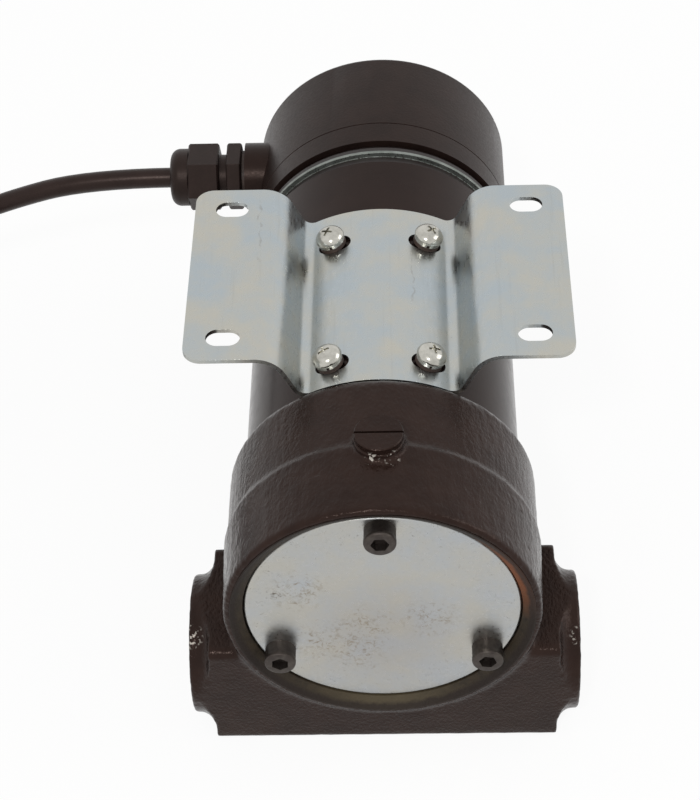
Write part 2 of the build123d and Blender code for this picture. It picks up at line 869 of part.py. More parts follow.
# Rear end plate
end_front = can_end - end_spigot_front
web_back = rim_end + end_web_back
spigot_back = rim_end + end_spigot_back
with BuildPart() as rear_end_plate:
    revolve(
        turned_section(
            (rear_bearing_end, 0),
            (rear_bearing_end, bearing_r),
            (end_front, bearing_r),
            (end_front, spigot_r),
            (can_end, spigot_r),
            (can_end, end_neck_r),
            (rim_start, end_neck_r),
            (rim_start, can_r),
            (rim_end, can_r),
            (rim_end, cap_bore_r - seat_play),
            (spigot_back, cap_bore_r - seat_play),
            (spigot_back, end_ring_r),
            (web_back, end_ring_r),
            (web_back, 0),
        ),
        axis=shaft_line,
    )
    with BuildSketch(facing_front(spigot_back)):
        with GridLocations(2 * tie_bolt_pitch, 1, 2, 1):
            Circle(tie_bolt_r + clearance_hole)
    extrude(amount=spigot_back - end_front + cut_over, mode=Mode.SUBTRACT)
    with BuildSketch(facing_front(web_back)):
        with GridLocations(1, 2 * cap_post_pitch, 1, 2):
            Circle(cap_screw_r + screw_play)
    extrude(amount=cap_screw_grip + drill_extra, mode=Mode.SUBTRACT)
save(rear_end_plate, "rear_end_plate")

# Tie bolts, through the motor into the pump casting
with BuildPart() as tie_bolts:
    with BuildSketch(facing_front(spigot_back)):
        with GridLocations(2 * tie_bolt_pitch, 1, 2, 1):
            Circle(tie_bolt_r)
    extrude(amount=spigot_back - casting_l + tie_bolt_grip)
    with BuildSketch(facing_front(spigot_back)):
        with GridLocations(2 * tie_bolt_pitch, 1, 2, 1):
            Circle(tie_bolt_head_r)
    extrude(amount=-tie_bolt_head_h)
    with BuildSketch(facing_front(spigot_back + tie_bolt_head_h)):
        with GridLocations(2 * tie_bolt_pitch, 1, 2, 1):
            Rectangle(2 * (tie_bolt_head_r + cut_over), tie_bolt_slot_w)
    extrude(amount=tie_bolt_slot_h, mode=Mode.SUBTRACT)
save(tie_bolts, "tie_bolts")

# End cap with the gland's boss on its left
gland_z_abs = axis_z + gland_z
post_end = cap_end - cap_screw_head_h - cap_screw_sunk
with BuildPart() as end_cap:
    revolve(
        turned_section(
            (cap_start, cap_bore_r),
            (cap_start, cap_r),
            (cap_start + cap_line_back, cap_r),
            (cap_start + cap_line_back + cap_line / 2, cap_r - cap_line),
            (cap_start + cap_line_back + cap_line, cap_r),
            (cap_end, cap_r),
            (cap_end, 0),
            (cap_end - cap_back_t, 0),
            (cap_end - cap_back_t, cap_bore_r),
            (spigot_back + cap_ledge_t, cap_bore_r),
            (spigot_back + cap_ledge_t, cap_bore_r - cap_ledge_w),
            (spigot_back, cap_bore_r - cap_ledge_w),
            (spigot_back, cap_bore_r),
        ),
        axis=shaft_line,
    )
    back_rim = end_cap.edges().filter_by(
        lambda e: e.geom_type == GeomType.CIRCLE and e.center().Y > station(cap_end) - 0.01
    )
    fillet(back_rim, cap_edge)
    with BuildSketch(facing_right(-gland_boss_x, gland_depth, gland_z_abs)):
        Circle(gland_boss_r)
    extrude(amount=gland_boss_x - cap_bore_r + gland_boss_in)
    with BuildSketch(facing_front(cap_end - cap_back_t)):
        with GridLocations(1, 2 * cap_post_pitch, 1, 2):
            Circle(cap_post_r)
    extrude(amount=cap_end - cap_back_t - web_back)
    with BuildSketch(facing_right(-gland_boss_x, gland_depth, gland_z_abs)):
        Circle(gland_thread_r)
    extrude(amount=gland_boss_x - cap_bore_r + gland_boss_in + cut_over, mode=Mode.SUBTRACT)
    with BuildSketch(facing_front(cap_end)):
        with GridLocations(1, 2 * cap_post_pitch, 1, 2):
            Circle(cap_screw_head_r + clearance_hole)
    extrude(amount=cap_screw_head_h + cap_screw_sunk, mode=Mode.SUBTRACT)
    with BuildSketch(facing_front(cap_end)):
        with GridLocations(1, 2 * cap_post_pitch, 1, 2):
            Circle(cap_screw_r + clearance_hole)
    extrude(amount=cap_end - web_back, mode=Mode.SUBTRACT)
save(end_cap, "end_cap")

# Screws of the end cap
with BuildPart() as cap_screws:
    with BuildSketch(facing_front(post_end)):
        with GridLocations(1, 2 * cap_post_pitch, 1, 2):
            Circle(cap_screw_head_r)
    extrude(amount=-cap_screw_head_h)
    with BuildSketch(facing_front(post_end + cap_screw_head_h)):
        with GridLocations(1, 2 * cap_post_pitch, 1, 2):
            RegularPolygon(cap_screw_af / 2, 6, major_radius=False)
    extrude(amount=cap_screw_socket, mode=Mode.SUBTRACT)
    with BuildSketch(facing_front(post_end)):
        with GridLocations(1, 2 * cap_post_pitch, 1, 2):
            Circle(cap_screw_r)
    extrude(amount=post_end - web_back + cap_screw_grip)
save(cap_screws, "cap_screws")

# Terminal block on the end plate
with BuildPart() as terminal_block:
    with BuildSketch(facing_front(web_back, x=terminal_x)):
        RectangleRounded(terminal_w, terminal_h, terminal_round)
    extrude(amount=-terminal_l)
    with BuildSketch(facing_front(web_back + terminal_l, x=terminal_x)):
        with GridLocations(1, 2 * terminal_rise, 1, 2):
            Circle(terminal_hole_r)
    extrude(amount=terminal_hole_l, mode=Mode.SUBTRACT)
save(terminal_block, "terminal_block")

# Mounting bracket
mid_r = can_r + fit_play + sheet_t / 2
pad_mid = pad_top - sheet_t / 2
saddle_half_angle = degrees(asin(wall_foot_x / mid_r))
foot_z = mid_r * (1 - (wall_foot_x / mid_r) ** 2) ** 0.5
bracket_end = bracket_front + bracket_l
with BuildPart() as mounting_bracket:
    with BuildSketch(facing_front(bracket_front)):
        with BuildLine() as hat:
            CenterArc((0, 0), mid_r, 90 - saddle_half_angle, 2 * saddle_half_angle)
            for side in (-1, 1):
                Polyline(
                    (side * wall_foot_x, foot_z), (side * wall_head_x, pad_mid),
                    (side * pad_half, pad_mid),
                )
            feet = hat.vertices().filter_by(lambda v: abs(abs(v.X) - wall_foot_x) < 0.01)
            fillet(feet, foot_bend_r)
            heads = hat.vertices().filter_by(lambda v: abs(abs(v.X) - wall_head_x) < 0.01)
            fillet(heads, head_bend_r)
        trace(line_width=sheet_t)
    extrude(amount=-bracket_l)
    pad_corners = mounting_bracket.edges().filter_by(Axis.Z)
    fillet(pad_corners, pad_corner_r)
    pad_pitch_y = bracket_l - 2 * pad_slot_inset
    with BuildSketch(facing_up(0, bracket_front + bracket_l / 2, axis_z + pad_top)):
        with GridLocations(2 * pad_slot_x, pad_pitch_y, 2, 2):
            SlotOverall(pad_slot_l, pad_slot_w)
    extrude(amount=-2 * sheet_t, mode=Mode.SUBTRACT)
    for (angle, depth), shift in zip(saddle_screws, saddle_slot_shifts):
        inward = -shift if angle > 0 else shift
        with BuildSketch(facing_out(angle, depth, can_r + 2 * sheet_t)):
            with Locations((inward, 0)):
                SlotOverall(saddle_slot_l, saddle_slot_w)
        extrude(amount=-3 * sheet_t, mode=Mode.SUBTRACT)
save(mounting_bracket, "mounting_bracket")

# Washers and pan-head screws that hold the bracket
saddle_top = can_r + fit_play + sheet_t
rubber_top = saddle_top + rubber_washer_t
lock_top = rubber_top + lock_washer_t
with BuildPart() as rubber_washers:
    for angle, depth in saddle_screws:
        with BuildSketch(facing_out(angle, depth, saddle_top)):
            Circle(washer_r)
            Circle(pan_thread_r + clearance_hole, mode=Mode.SUBTRACT)
        extrude(amount=rubber_washer_t)
save(rubber_washers, "rubber_washers")
with BuildPart() as lock_washers:
    for angle, depth in saddle_screws:
        with BuildSketch(facing_out(angle, depth, rubber_top)):
            Circle(washer_r)
            Circle(pan_thread_r + clearance_hole, mode=Mode.SUBTRACT)
            with Locations((0, -washer_r)):
                Rectangle(lock_gap_w, washer_r * 2, mode=Mode.SUBTRACT)
        extrude(amount=lock_washer_t)
save(lock_washers, "lock_washers")
with BuildPart() as bracket_screws:
    for angle, depth in saddle_screws:
        with BuildSketch(facing_out(angle, depth, lock_top)):
            Circle(pan_r)
        extrude(amount=pan_h)
    tops = bracket_screws.edges().filter_by(
        lambda e: e.geom_type == GeomType.CIRCLE
        and (e.center() - Vector(0, e.center().Y, axis_z)).length > lock_top + pan_h - 0.01
    )
    fillet(tops, pan_round)
    for angle, depth in saddle_screws:
        with BuildSketch(facing_out(angle, depth, lock_top + pan_h)):
            Rectangle(recess_l, recess_w)
            Rectangle(recess_w, recess_l)
        extrude(amount=-recess_h, mode=Mode.SUBTRACT)
        with BuildSketch(facing_out(angle, depth, lock_top)):
            Circle(pan_thread_r)
        extrude(amount=-(lock_top - can_r + can_wall - pan_thread_short))
save(bracket_screws, "bracket_screws")

# Cable gland: sealing washer, body, dome nut and seal, all facing left
washer_face = -gland_boss_x
flange_face = washer_face - gland_washer_t
collar_face = flange_face - gland_flange_t
nut_face = collar_face - gland_collar_t
dome_face = nut_face - gland_nut_hex_l
gland_end = dome_face - gland_nut_dome_l
gland_inner_x = gland_boss_in - cap_bore_r
body_bore_r = cord_d / 2 + gland_bore_play
with BuildPart() as gland_washer:
    with BuildSketch(facing_right(washer_face, gland_depth, gland_z_abs)):
        Circle(gland_washer_r)
        Circle(gland_thread_r, mode=Mode.SUBTRACT)
    extrude(amount=-gland_washer_t)
save(gland_washer, "gland_washer")
with BuildPart() as gland_body:
    with BuildSketch(facing_right(flange_face, gland_depth, gland_z_abs)):
        RegularPolygon(gland_af / 2, 6, major_radius=False)
    extrude(amount=-gland_flange_t)
    chamfer(gland_body.edges().group_by(Axis.X)[0], gland_hex_edge)
    chamfer(gland_body.edges().group_by(Axis.X)[-1], gland_hex_edge)
    with BuildSketch(facing_right(gland_inner_x, gland_depth, gland_z_abs)):
        Circle(gland_thread_r - screw_play)
    extrude(amount=flange_face - gland_inner_x)
    with BuildSketch(facing_right(collar_face, gland_depth, gland_z_abs)):
        Circle(gland_collar_r)
    extrude(amount=-gland_collar_t)
    with BuildSketch(facing_right(nut_face, gland_depth, gland_z_abs)):
        Circle(gland_dome_r - gland_nut_wall - screw_play)
    extrude(amount=-gland_nut_hex_l + gland_nut_short)
    with BuildSketch(facing_right(gland_inner_x, gland_depth, gland_z_abs)):
        Circle(body_bore_r)
    extrude(amount=dome_face - gland_inner_x, mode=Mode.SUBTRACT)
save(gland_body, "gland_body")
with BuildPart() as gland_nut:
    with BuildSketch(facing_right(nut_face, gland_depth, gland_z_abs)):
        RegularPolygon(gland_af / 2, 6, major_radius=False)
    extrude(amount=-gland_nut_hex_l)
    chamfer(gland_nut.edges().group_by(Axis.X)[0], gland_hex_edge)
    chamfer(gland_nut.edges().group_by(Axis.X)[-1], gland_hex_edge)
    with BuildSketch(facing_right(dome_face, gland_depth, gland_z_abs)):
        Circle(gland_dome_r)
    extrude(amount=-gland_nut_dome_l)
    fillet(gland_nut.edges().group_by(Axis.X)[0], gland_dome_round)
    with BuildSketch(facing_right(nut_face, gland_depth, gland_z_abs)):
        Circle(gland_dome_r - gland_nut_wall)
    extrude(amount=-gland_nut_hex_l, mode=Mode.SUBTRACT)
    with BuildSketch(facing_right(dome_face, gland_depth, gland_z_abs)):
        Circle(gland_mouth_r)
    extrude(amount=-gland_nut_dome_l, mode=Mode.SUBTRACT)
save(gland_nut, "gland_nut")
cord_start_x = gland_end + gland_seal_sunk
seal_body_l = gland_nut_short - seat_play
with BuildPart() as gland_seal:
    with BuildSketch(facing_right(dome_face, gland_depth, gland_z_abs)):
        Circle(gland_dome_r - gland_nut_wall - seat_play)
    extrude(amount=seal_body_l)
    with BuildSketch(facing_right(dome_face, gland_depth, gland_z_abs)):
        Circle(gland_mouth_r - seat_play)
    extrude(amount=cord_start_x - dome_face)
save(gland_seal, "gland_seal")


def fair_path(points, share=0.45):
    """Straight runs joined by arcs as large as the shorter run at each corner allows."""
    points = [Vector(*p) for p in points]
    radii = []
    for before, here, after in zip(points, points[1:], points[2:]):
        run = min((here - before).length, (after - here).length)
        turn = (here - before).get_angle(after - here)
        radii.append(share * run / tan(radians(turn) / 2))
    return points, radii


def tube_along(points, diameter, share=0.45):
    """Round tube along a fair path, with its path."""
    corners, radii = fair_path(points, share)
    with BuildPart() as tube:
        with BuildLine() as path:
            FilletPolyline(*corners, radius=radii)
        with BuildSketch(Plane(origin=path.line @ 0, z_dir=path.line % 0)):
            Circle(diameter / 2)
        sweep()
    return tube, path.line, radii


# The two leads from the gland's seal to the terminal block
lead_start = dome_face + seal_body_l
lead_end_depth = web_back + terminal_l - terminal_hole_l + 1.0
with BuildPart() as supply_leads:
    for side in (-1, 1):
        lead_points = [
            (lead_start, gland_depth_y, gland_z_abs + side * lead_pitch),
            (gland_inner_x - 1.0, gland_depth_y, gland_z_abs + side * lead_pitch),
            (terminal_x - 8.0, gland_depth_y - 1.0, axis_z + side * terminal_rise + 2.0),
            (terminal_x, gland_depth_y - 6.0, axis_z + side * terminal_rise),
            (terminal_x, station(lead_end_depth), axis_z + side * terminal_rise),
        ]
        lead, lead_line, lead_radii = tube_along(lead_points, lead_d)
        add(lead.part)
save(supply_leads, "supply_leads")

# Cord from the gland, down past the left of the pump and into the top turn of its coil
cord_r = cord_d / 2
floor_z = cord_r + floor_play
coil_lift = tie_t
coil_h = coil_layers * cord_d
coil_outer_r = coil_mean_r + coil_rings * cord_d / 2
coil_inner_r = coil_mean_r - coil_rings * cord_d / 2
outer_turn_r = coil_outer_r - cord_r
top_turn_z = coil_lift + coil_h - cord_r
coil_left = coil_x - outer_turn_r
cord_points = [
    (cord_start_x, gland_depth_y, gland_z_abs),
    (-112.0, gland_depth_y, gland_z_abs),
    (-146.0, 96.6, 62.0),
    (-180.0, 97.2, 46.0),
    (-215.0, 97.0, 31.0),
    (-243.0, 86.0, 20.5),
    (coil_left, 63.0, 14.5),
    (coil_left, coil_y - 3.0, top_turn_z),
]
power_cord, cord_line, cord_radii = tube_along(cord_points, cord_d)
cord_l = sum(edge.length for edge in cord_line.edges())
print("cord radii", [round(r, 1) for r in cord_radii])
print("cord length", round(cord_l, 1))
print("volume ratio", round(power_cord.part.volume / (cord_l * pi * cord_r**2), 4))
save(power_cord, "power_cord")

with BuildPart() as cord_coil:
    with BuildSketch(Plane(origin=(coil_x, coil_y, coil_lift))):
        Circle(coil_outer_r)
        Circle(coil_inner_r, mode=Mode.SUBTRACT)
    extrude(amount=coil_h)
    fillet(cord_coil.edges().filter_by(GeomType.CIRCLE), cord_r * 0.9)
save(cord_coil, "cord_coil")

# Tie round the coil, on its side nearest the pump's front
with BuildPart() as coil_tie:
    tie_plane = Plane(origin=(coil_x, coil_y - coil_mean_r, 0), x_dir=(0, 1, 0), z_dir=(1, 0, 0))
    with BuildSketch(tie_plane):
        with Locations((0, coil_lift + coil_h / 2)):
            RectangleRounded(
                coil_outer_r - coil_inner_r + 2 * tie_t, coil_h + 2 * tie_t, cord_r
            )
            RectangleRounded(
                coil_outer_r - coil_inner_r + 2 * tie_play,
                coil_h,
                cord_r * 0.8,
                mode=Mode.SUBTRACT,
            )
    extrude(amount=tie_w / 2, both=True)
save(coil_tie, "coil_tie")

# Free end of the cord, leaving the bottom turn of the coil along the floor
bottom_turn_z = coil_lift + cord_r
tail_points = [
    (coil_left, coil_y - 6.0, bottom_turn_z),
    (coil_left - 1.0, coil_y - 36.0, bottom_turn_z - 0.6),
    (coil_left + 4.0, coil_y - 66.0, floor_z),
    (coil_left + 4.0, coil_y - 95.0, floor_z),
]
cord_tail, tail_line, tail_radii = tube_along(tail_points, cord_d)
tail_l = sum(edge.length for edge in tail_line.edges())
print("tail length", round(tail_l, 1), "radii", [round(r, 1) for r in tail_radii])
save(cord_tail, "cord_tail")

# Two cores out of the sheath, each with a battery ring terminal lying on the floor
tail_end = tail_points[-1]
barrel_r = core_d / 2 + barrel_wall
barrel_z = barrel_r
with BuildPart() as ring_terminals:
    for side in (-1, 1):
        ring_x = tail_end[0] + side * ring_apart
        ring_y = tail_end[1] - ring_reach
        core_points = [
            (tail_end[0] + side * core_pitch, tail_end[1], floor_z),
            (tail_end[0] + side * core_pitch, tail_end[1] - 9.0, floor_z),
            (tail_end[0] + side * 7.0, tail_end[1] - 20.0, barrel_z + 0.3),
            (ring_x, ring_y + 12.0, barrel_z),
        ]
        core, core_line, core_radii = tube_along(core_points, core_d)
        add(core.part)
        barrel_y = ring_y + ring_outer_r + barrel_wall
        with BuildSketch(Plane(origin=(ring_x, barrel_y, barrel_z), z_dir=(0, 1, 0))):
            Circle(barrel_r)
        extrude(amount=barrel_l)
        with BuildSketch(Plane(origin=(ring_x, ring_y, 0))):
            Circle(ring_outer_r)
            with Locations((0, ring_outer_r)):
                Rectangle(2 * barrel_r, ring_outer_r)
            Circle(ring_hole_r, mode=Mode.SUBTRACT)
        extrude(amount=ring_t)
save(ring_terminals, "ring_terminals")
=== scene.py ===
import bpy
import bmesh
import json
from math import cos, pi, radians, sin, tau
from mathutils import Matrix, Vector, noise

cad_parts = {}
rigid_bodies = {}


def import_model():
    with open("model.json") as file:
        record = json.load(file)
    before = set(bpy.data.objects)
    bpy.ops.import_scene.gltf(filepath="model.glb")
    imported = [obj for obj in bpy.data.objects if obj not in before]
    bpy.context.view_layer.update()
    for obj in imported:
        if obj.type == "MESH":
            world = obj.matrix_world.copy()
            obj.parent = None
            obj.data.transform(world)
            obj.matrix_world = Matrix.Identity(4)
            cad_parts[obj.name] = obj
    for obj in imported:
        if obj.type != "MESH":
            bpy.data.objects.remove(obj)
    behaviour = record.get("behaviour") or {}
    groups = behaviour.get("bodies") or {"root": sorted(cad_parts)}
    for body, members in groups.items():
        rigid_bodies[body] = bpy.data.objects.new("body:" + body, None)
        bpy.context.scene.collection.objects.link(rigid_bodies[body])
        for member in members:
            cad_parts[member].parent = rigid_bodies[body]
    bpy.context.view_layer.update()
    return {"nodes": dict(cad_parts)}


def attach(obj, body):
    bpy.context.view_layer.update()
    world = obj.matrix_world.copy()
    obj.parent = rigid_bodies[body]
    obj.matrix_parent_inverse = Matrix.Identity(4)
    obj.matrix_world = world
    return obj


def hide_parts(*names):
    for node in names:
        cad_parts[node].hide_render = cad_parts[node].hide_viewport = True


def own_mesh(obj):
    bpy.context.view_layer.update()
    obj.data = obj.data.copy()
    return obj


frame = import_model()

# Self-priming pump on its foot, bracket up. Metres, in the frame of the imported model: the shaft
# runs along Y with the cover at the front, the ports face left and right, and Z = 0 is the table.
print("frame loaded", len(frame["nodes"]), "nodes")

mm = 0.001
shaftZ = 65.5 * mm            # height of the shaft
portLine = Vector((0, -88.7, 23.05)) * mm
coverFace = -110.25           # front face of the cover plate, in millimetres along Y


def linearColour(text, alpha=1.0):
    parts = [int(text[i:i + 2], 16) / 255 for i in (1, 3, 5)]
    return [p / 12.92 if p <= 0.04045 else ((p + 0.055) / 1.055) ** 2.4 for p in parts] + [alpha]


def addNode(material, kind, values={}, links={}, **settings):
    node = material.node_tree.nodes.new(kind)
    for name, value in settings.items():
        setattr(node, name, value)
    for socket, value in values.items():
        node.inputs[socket].default_value = value
    for socket, source in links.items():
        material.node_tree.links.new(source, node.inputs[socket])
    return node


def startMaterial(name):
    # an empty node tree with a Principled shader, its output and the object's own coordinates
    material = bpy.data.materials.new(name)
    material.use_nodes = True
    material.node_tree.nodes.clear()
    shader = addNode(material, "ShaderNodeBsdfPrincipled")
    addNode(material, "ShaderNodeOutputMaterial", links={"Surface": shader.outputs[0]})
    place = addNode(material, "ShaderNodeTexCoord").outputs["Object"]
    return material, shader, place


def newObject(name, data):
    made = bpy.data.objects.new(name, data)
    bpy.context.scene.collection.objects.link(made)
    return made


# Camera, fitted to the photograph: 700 x 800, long side first
cameraFit = {
    "place": Vector((10.89, -524.69, 576.15)) * mm,
    "right": Vector((0.99941388, 0.01069279, -0.03252015)),
    "up": Vector((0.01532414, 0.70973046, 0.70430664)),
    "look": Vector((-0.03061154, 0.70439218, -0.70915062)),
    "lens": 94.37,
}
cameraData = bpy.data.cameras.new("camera")
cameraData.lens = cameraFit["lens"]
cameraData.sensor_width = 36
cameraData.clip_start = 0.05
cameraData.clip_end = 20
camera = newObject("camera", cameraData)
turn = Matrix((cameraFit["right"], cameraFit["up"], -cameraFit["look"])).transposed()
camera.matrix_world = Matrix.Translation(cameraFit["place"]) @ turn.to_4x4()
bpy.context.scene.camera = camera
bpy.context.scene.view_settings.view_transform = "Standard"
print("camera in place")


# Finishes. Sizes of patches and grain are in millimetres, gloss is the range of roughness
def mixedFinish(plan):
    # patches of two colours, an uneven gloss and a fine relief
    material, shader, place = startMaterial(plan["name"])
    laid = addNode(
        material, "ShaderNodeMapping", {"Scale": plan.get("stretch", (1, 1, 1))}, {"Vector": place},
    ).outputs[0]
    patches = addNode(
        material, "ShaderNodeTexNoise",
        {"Scale": 1 / (plan["patch"] * mm), "Detail": 5.0, "Roughness": 0.62}, {"Vector": place},
    ).outputs["Fac"]
    spread = addNode(
        material, "ShaderNodeMapRange", {"From Min": 0.36, "From Max": 0.64}, {"Value": patches},
    ).outputs[0]
    colour = addNode(
        material, "ShaderNodeMix",
        {6: linearColour(plan["colours"][0]), 7: linearColour(plan["colours"][1])}, {0: spread},
        data_type="RGBA",
    ).outputs[2]
    grain = addNode(
        material, "ShaderNodeTexNoise",
        {"Scale": 1 / (plan["grain"] * mm), "Detail": 3.0, "Roughness": 0.55}, {"Vector": laid},
    ).outputs["Fac"]
    gloss = addNode(
        material, "ShaderNodeMapRange",
        {"From Min": 0.3, "From Max": 0.7, "To Min": plan["gloss"][0], "To Max": plan["gloss"][1]},
        {"Value": grain},
    ).outputs[0]
    relief = addNode(
        material, "ShaderNodeBump", {"Strength": 1.0, "Distance": plan["depth"] * mm},
        {"Height": grain},
    ).outputs[0]
    shader.inputs["Metallic"].default_value = plan.get("metal", 0)
    if "ior" in plan:
        shader.inputs["IOR"].default_value = plan["ior"]
    if "tint" in plan:
        shader.inputs["Specular Tint"].default_value = linearColour(plan["tint"])
    material.node_tree.links.new(colour, shader.inputs["Base Color"])
    material.node_tree.links.new(gloss, shader.inputs["Roughness"])
    material.node_tree.links.new(relief, shader.inputs["Normal"])
    return {
        "material": material, "shader": shader, "place": place, "patches": patches,
        "colour": colour, "grain": grain,
    }


def nearness(material, place, spot, reach, most=1.0, least=0.0):
    # a share that goes from least at the first distance of reach to most at the second
    away = addNode(
        material, "ShaderNodeVectorMath", {1: tuple(spot)}, {0: place}, operation="DISTANCE",
    ).outputs["Value"]
    return addNode(
        material, "ShaderNodeMapRange",
        {"From Min": reach[0], "From Max": reach[1], "To Min": least, "To Max": most},
        {"Value": away},
    ).outputs[0]


def withMark(material, under, colour, *shares):
    # the colour under it with a mark laid over, where all of the mark's shares meet
    both = shares[0]
    for share in shares[1:]:
        both = addNode(
            material, "ShaderNodeMath", links={0: both, 1: share}, operation="MULTIPLY",
        ).outputs[0]
    return addNode(
        material, "ShaderNodeMix", {7: linearColour(colour)}, {0: both, 6: under},
        data_type="RGBA",
    ).outputs[2]


def awayFromShaft(material, place):
    # the distance from the shaft's line
    level = addNode(
        material, "ShaderNodeVectorMath", {1: (0, 0, shaftZ)}, {0: place}, operation="SUBTRACT",
    ).outputs[0]
    flat = addNode(
        material, "ShaderNodeVectorMath", {1: (1, 0, 1)}, {0: level}, operation="MULTIPLY",
    ).outputs[0]
    return addNode(
        material, "ShaderNodeVectorMath", links={0: flat}, operation="LENGTH",
    ).outputs["Value"]


# Brushed-on black paint over a sand-cast skin: warm near-black, low sheen, long soft orange peel,
# and painted glints (grain and the painted glints' specks are coarser than real ones, which would
# be too fine to show)
castPlan = {
    "name": "black paint on sand-cast iron", "colours": ("#1e1411", "#271b17"), "patch": 14.0,
    "grain": 1.0, "stretch": (1.0, 0.6, 0.8), "depth": 0.22, "gloss": (0.15, 0.26), "ior": 1.28,
    "tint": "#FFE0D4", "bareColours": ("#77706A", "#574E47"),
    "paintedGlintColour": "#bdb7ae", "paintedGlintScale": 800.0, "paintedGlintRange": (0.57, 0.62), "paintedGlintCore": 0.45,
    "paintedGlints": [                       # painted highlights: pale specks where glints on edges and wet-looking paint would shine
        (-0.0632, -0.1018, 0.0428, 0.0052),           # X, Y, Z and reach
        (0.0632, -0.1004, 0.0392, 0.0052),
        (0.0530, -0.1177, 0.0554, 0.0050),
        (-0.0019, -0.0930, 0.1165, 0.0028),
        (0.0040, -0.0930, 0.1165, 0.0028),
        (-0.0158, -0.1155, 0.1161, 0.0035),
        (-0.0037, -0.1155, 0.1198, 0.0045),
        (0.0132, -0.1155, 0.1181, 0.0050),
    ],
}
castPaint = mixedFinish(castPlan)
castTree = castPaint["material"]
# the turned faces inside the head stay bare, and the mesh says where
bare = addNode(castTree, "ShaderNodeAttribute", attribute_name="bare").outputs["Fac"]
turnedIron = addNode(
    castTree, "ShaderNodeMix",
    {6: linearColour(castPlan["bareColours"][0]), 7: linearColour(castPlan["bareColours"][1])},
    {0: castPaint["patches"]}, data_type="RGBA",
).outputs[2]
castColour = addNode(
    castTree, "ShaderNodeMix", {}, {0: bare, 6: castPaint["colour"], 7: turnedIron},
    data_type="RGBA",
).outputs[2]
paintedGlintGrain = addNode(
    castTree, "ShaderNodeTexNoise", {"Scale": castPlan["paintedGlintScale"], "Detail": 4.0},
    {"Vector": castPaint["place"]},
).outputs["Fac"]
paintedGlintMask = addNode(
    castTree, "ShaderNodeMapRange",
    {"From Min": castPlan["paintedGlintRange"][0], "From Max": castPlan["paintedGlintRange"][1]},
    {"Value": paintedGlintGrain},
).outputs[0]
# painted highlights: pale colour in specks near each spot, standing for glints of light
for *spot, reach in castPlan["paintedGlints"]:
    near = nearness(castTree, castPaint["place"], spot, (reach, reach * castPlan["paintedGlintCore"]))
    castColour = withMark(castTree, castColour, castPlan["paintedGlintColour"], near, paintedGlintMask)
castTree.node_tree.links.new(castColour, castPaint["shader"].inputs["Base Color"])
castTree.node_tree.links.new(bare, castPaint["shader"].inputs["Metallic"])

# Stove enamel on the drawn tube: glossy warm black with a very slight flow
tubePaint = mixedFinish({
    "name": "gloss black enamel on drawn steel", "colours": ("#1a110f", "#211714"), "patch": 22.0,
    "grain": 3.2, "depth": 0.02, "gloss": (0.14, 0.24), "ior": 1.26, "tint": "#FFE0D4",
})
# Sprayed on the cap over a cast skin: a dull even black with a fine orange peel
capPaint = mixedFinish({
    "name": "satin black paint on die-cast cap", "colours": ("#1a1210", "#221815"), "patch": 12.0,
    "grain": 0.9, "depth": 0.05, "gloss": (0.3, 0.42), "ior": 1.27, "tint": "#FFE0D4",
})
# Gland parts from a mould: flat black, grey only where the light grazes
glandNylon = mixedFinish({
    "name": "matt black moulded nylon", "colours": ("#17100e", "#1f1614"), "patch": 6.0,
    "grain": 0.5, "depth": 0.04, "gloss": (0.36, 0.5), "ior": 1.34, "tint": "#FFE4DA",
})
# Extruded sheath: a soft sheen along the cord, slightly uneven
sheathPvc = mixedFinish({
    "name": "black soft PVC sheath", "colours": ("#180f0d", "#201614"), "patch": 9.0,
    "grain": 0.8, "depth": 0.03, "gloss": (0.3, 0.4), "ior": 1.36, "tint": "#FFE4DA",
})
# Moulded strap: plain black with a small dull shine on its edges
tieNylon = mixedFinish({
    "name": "black nylon tie", "colours": ("#141313", "#1d1b1b"), "patch": 4.0,
    "grain": 0.4, "depth": 0.02, "gloss": (0.35, 0.45), "ior": 1.53,
})
# Sealing rubber: dark brown, no shine, a powdery grain
washerRubber = mixedFinish({
    "name": "dark brown rubber", "colours": ("#2b1e19", "#3a2a22"), "patch": 3.0,
    "grain": 0.4, "depth": 0.03, "gloss": (0.5, 0.7), "ior": 1.5,
})
# Oiled black oxide: dark grey-brown steel that still glints on its edges
oxideSteel = mixedFinish({
    "name": "black oxide on hardened steel", "colours": ("#3a3330", "#4b4540"), "patch": 2.2,
    "grain": 0.5, "depth": 0.03, "gloss": (0.38, 0.5), "metal": 0.75,
})
# Plated screw heads: bright and warm, with blurred reflections
nickelSteel = mixedFinish({
    "name": "bright nickel on rolled steel screws", "colours": ("#c2c0b8", "#aba9a1"), "patch": 3.0,
    "grain": 0.6, "depth": 0.015, "gloss": (0.12, 0.24), "metal": 1,
})
# Drawn wire: bright grey, darker in patches of oil
springSteel = mixedFinish({
    "name": "bright spring steel", "colours": ("#b8b6b0", "#98958f"), "patch": 2.0,
    "grain": 0.4, "depth": 0.015, "gloss": (0.18, 0.32), "metal": 1,
})
# Ground all round: cool bright metal with fine lines about the shaft
groundSteel = mixedFinish({
    "name": "ground bearing steel", "colours": ("#c4c4c2", "#aeaeac"), "patch": 5.0,
    "grain": 0.5, "stretch": (1, 0.1, 1), "depth": 0.01, "gloss": (0.14, 0.24), "metal": 1,
})
# Turned grey iron: mid grey, with the tool's lines across the shaft
rotorIron = mixedFinish({
    "name": "turned grey iron", "colours": ("#7d7a76", "#686460"), "patch": 4.0,
    "grain": 0.7, "stretch": (1, 0.2, 1), "depth": 0.03, "gloss": (0.3, 0.45), "metal": 1,
})
# Moulded vanes: near-black plastic with a grey carbon bloom
vanePlastic = mixedFinish({
    "name": "moulded carbon-filled vane plastic", "colours": ("#2a2a2c", "#37373a"), "patch": 4.0,
    "grain": 0.5, "depth": 0.03, "gloss": (0.35, 0.5), "ior": 1.6,
})
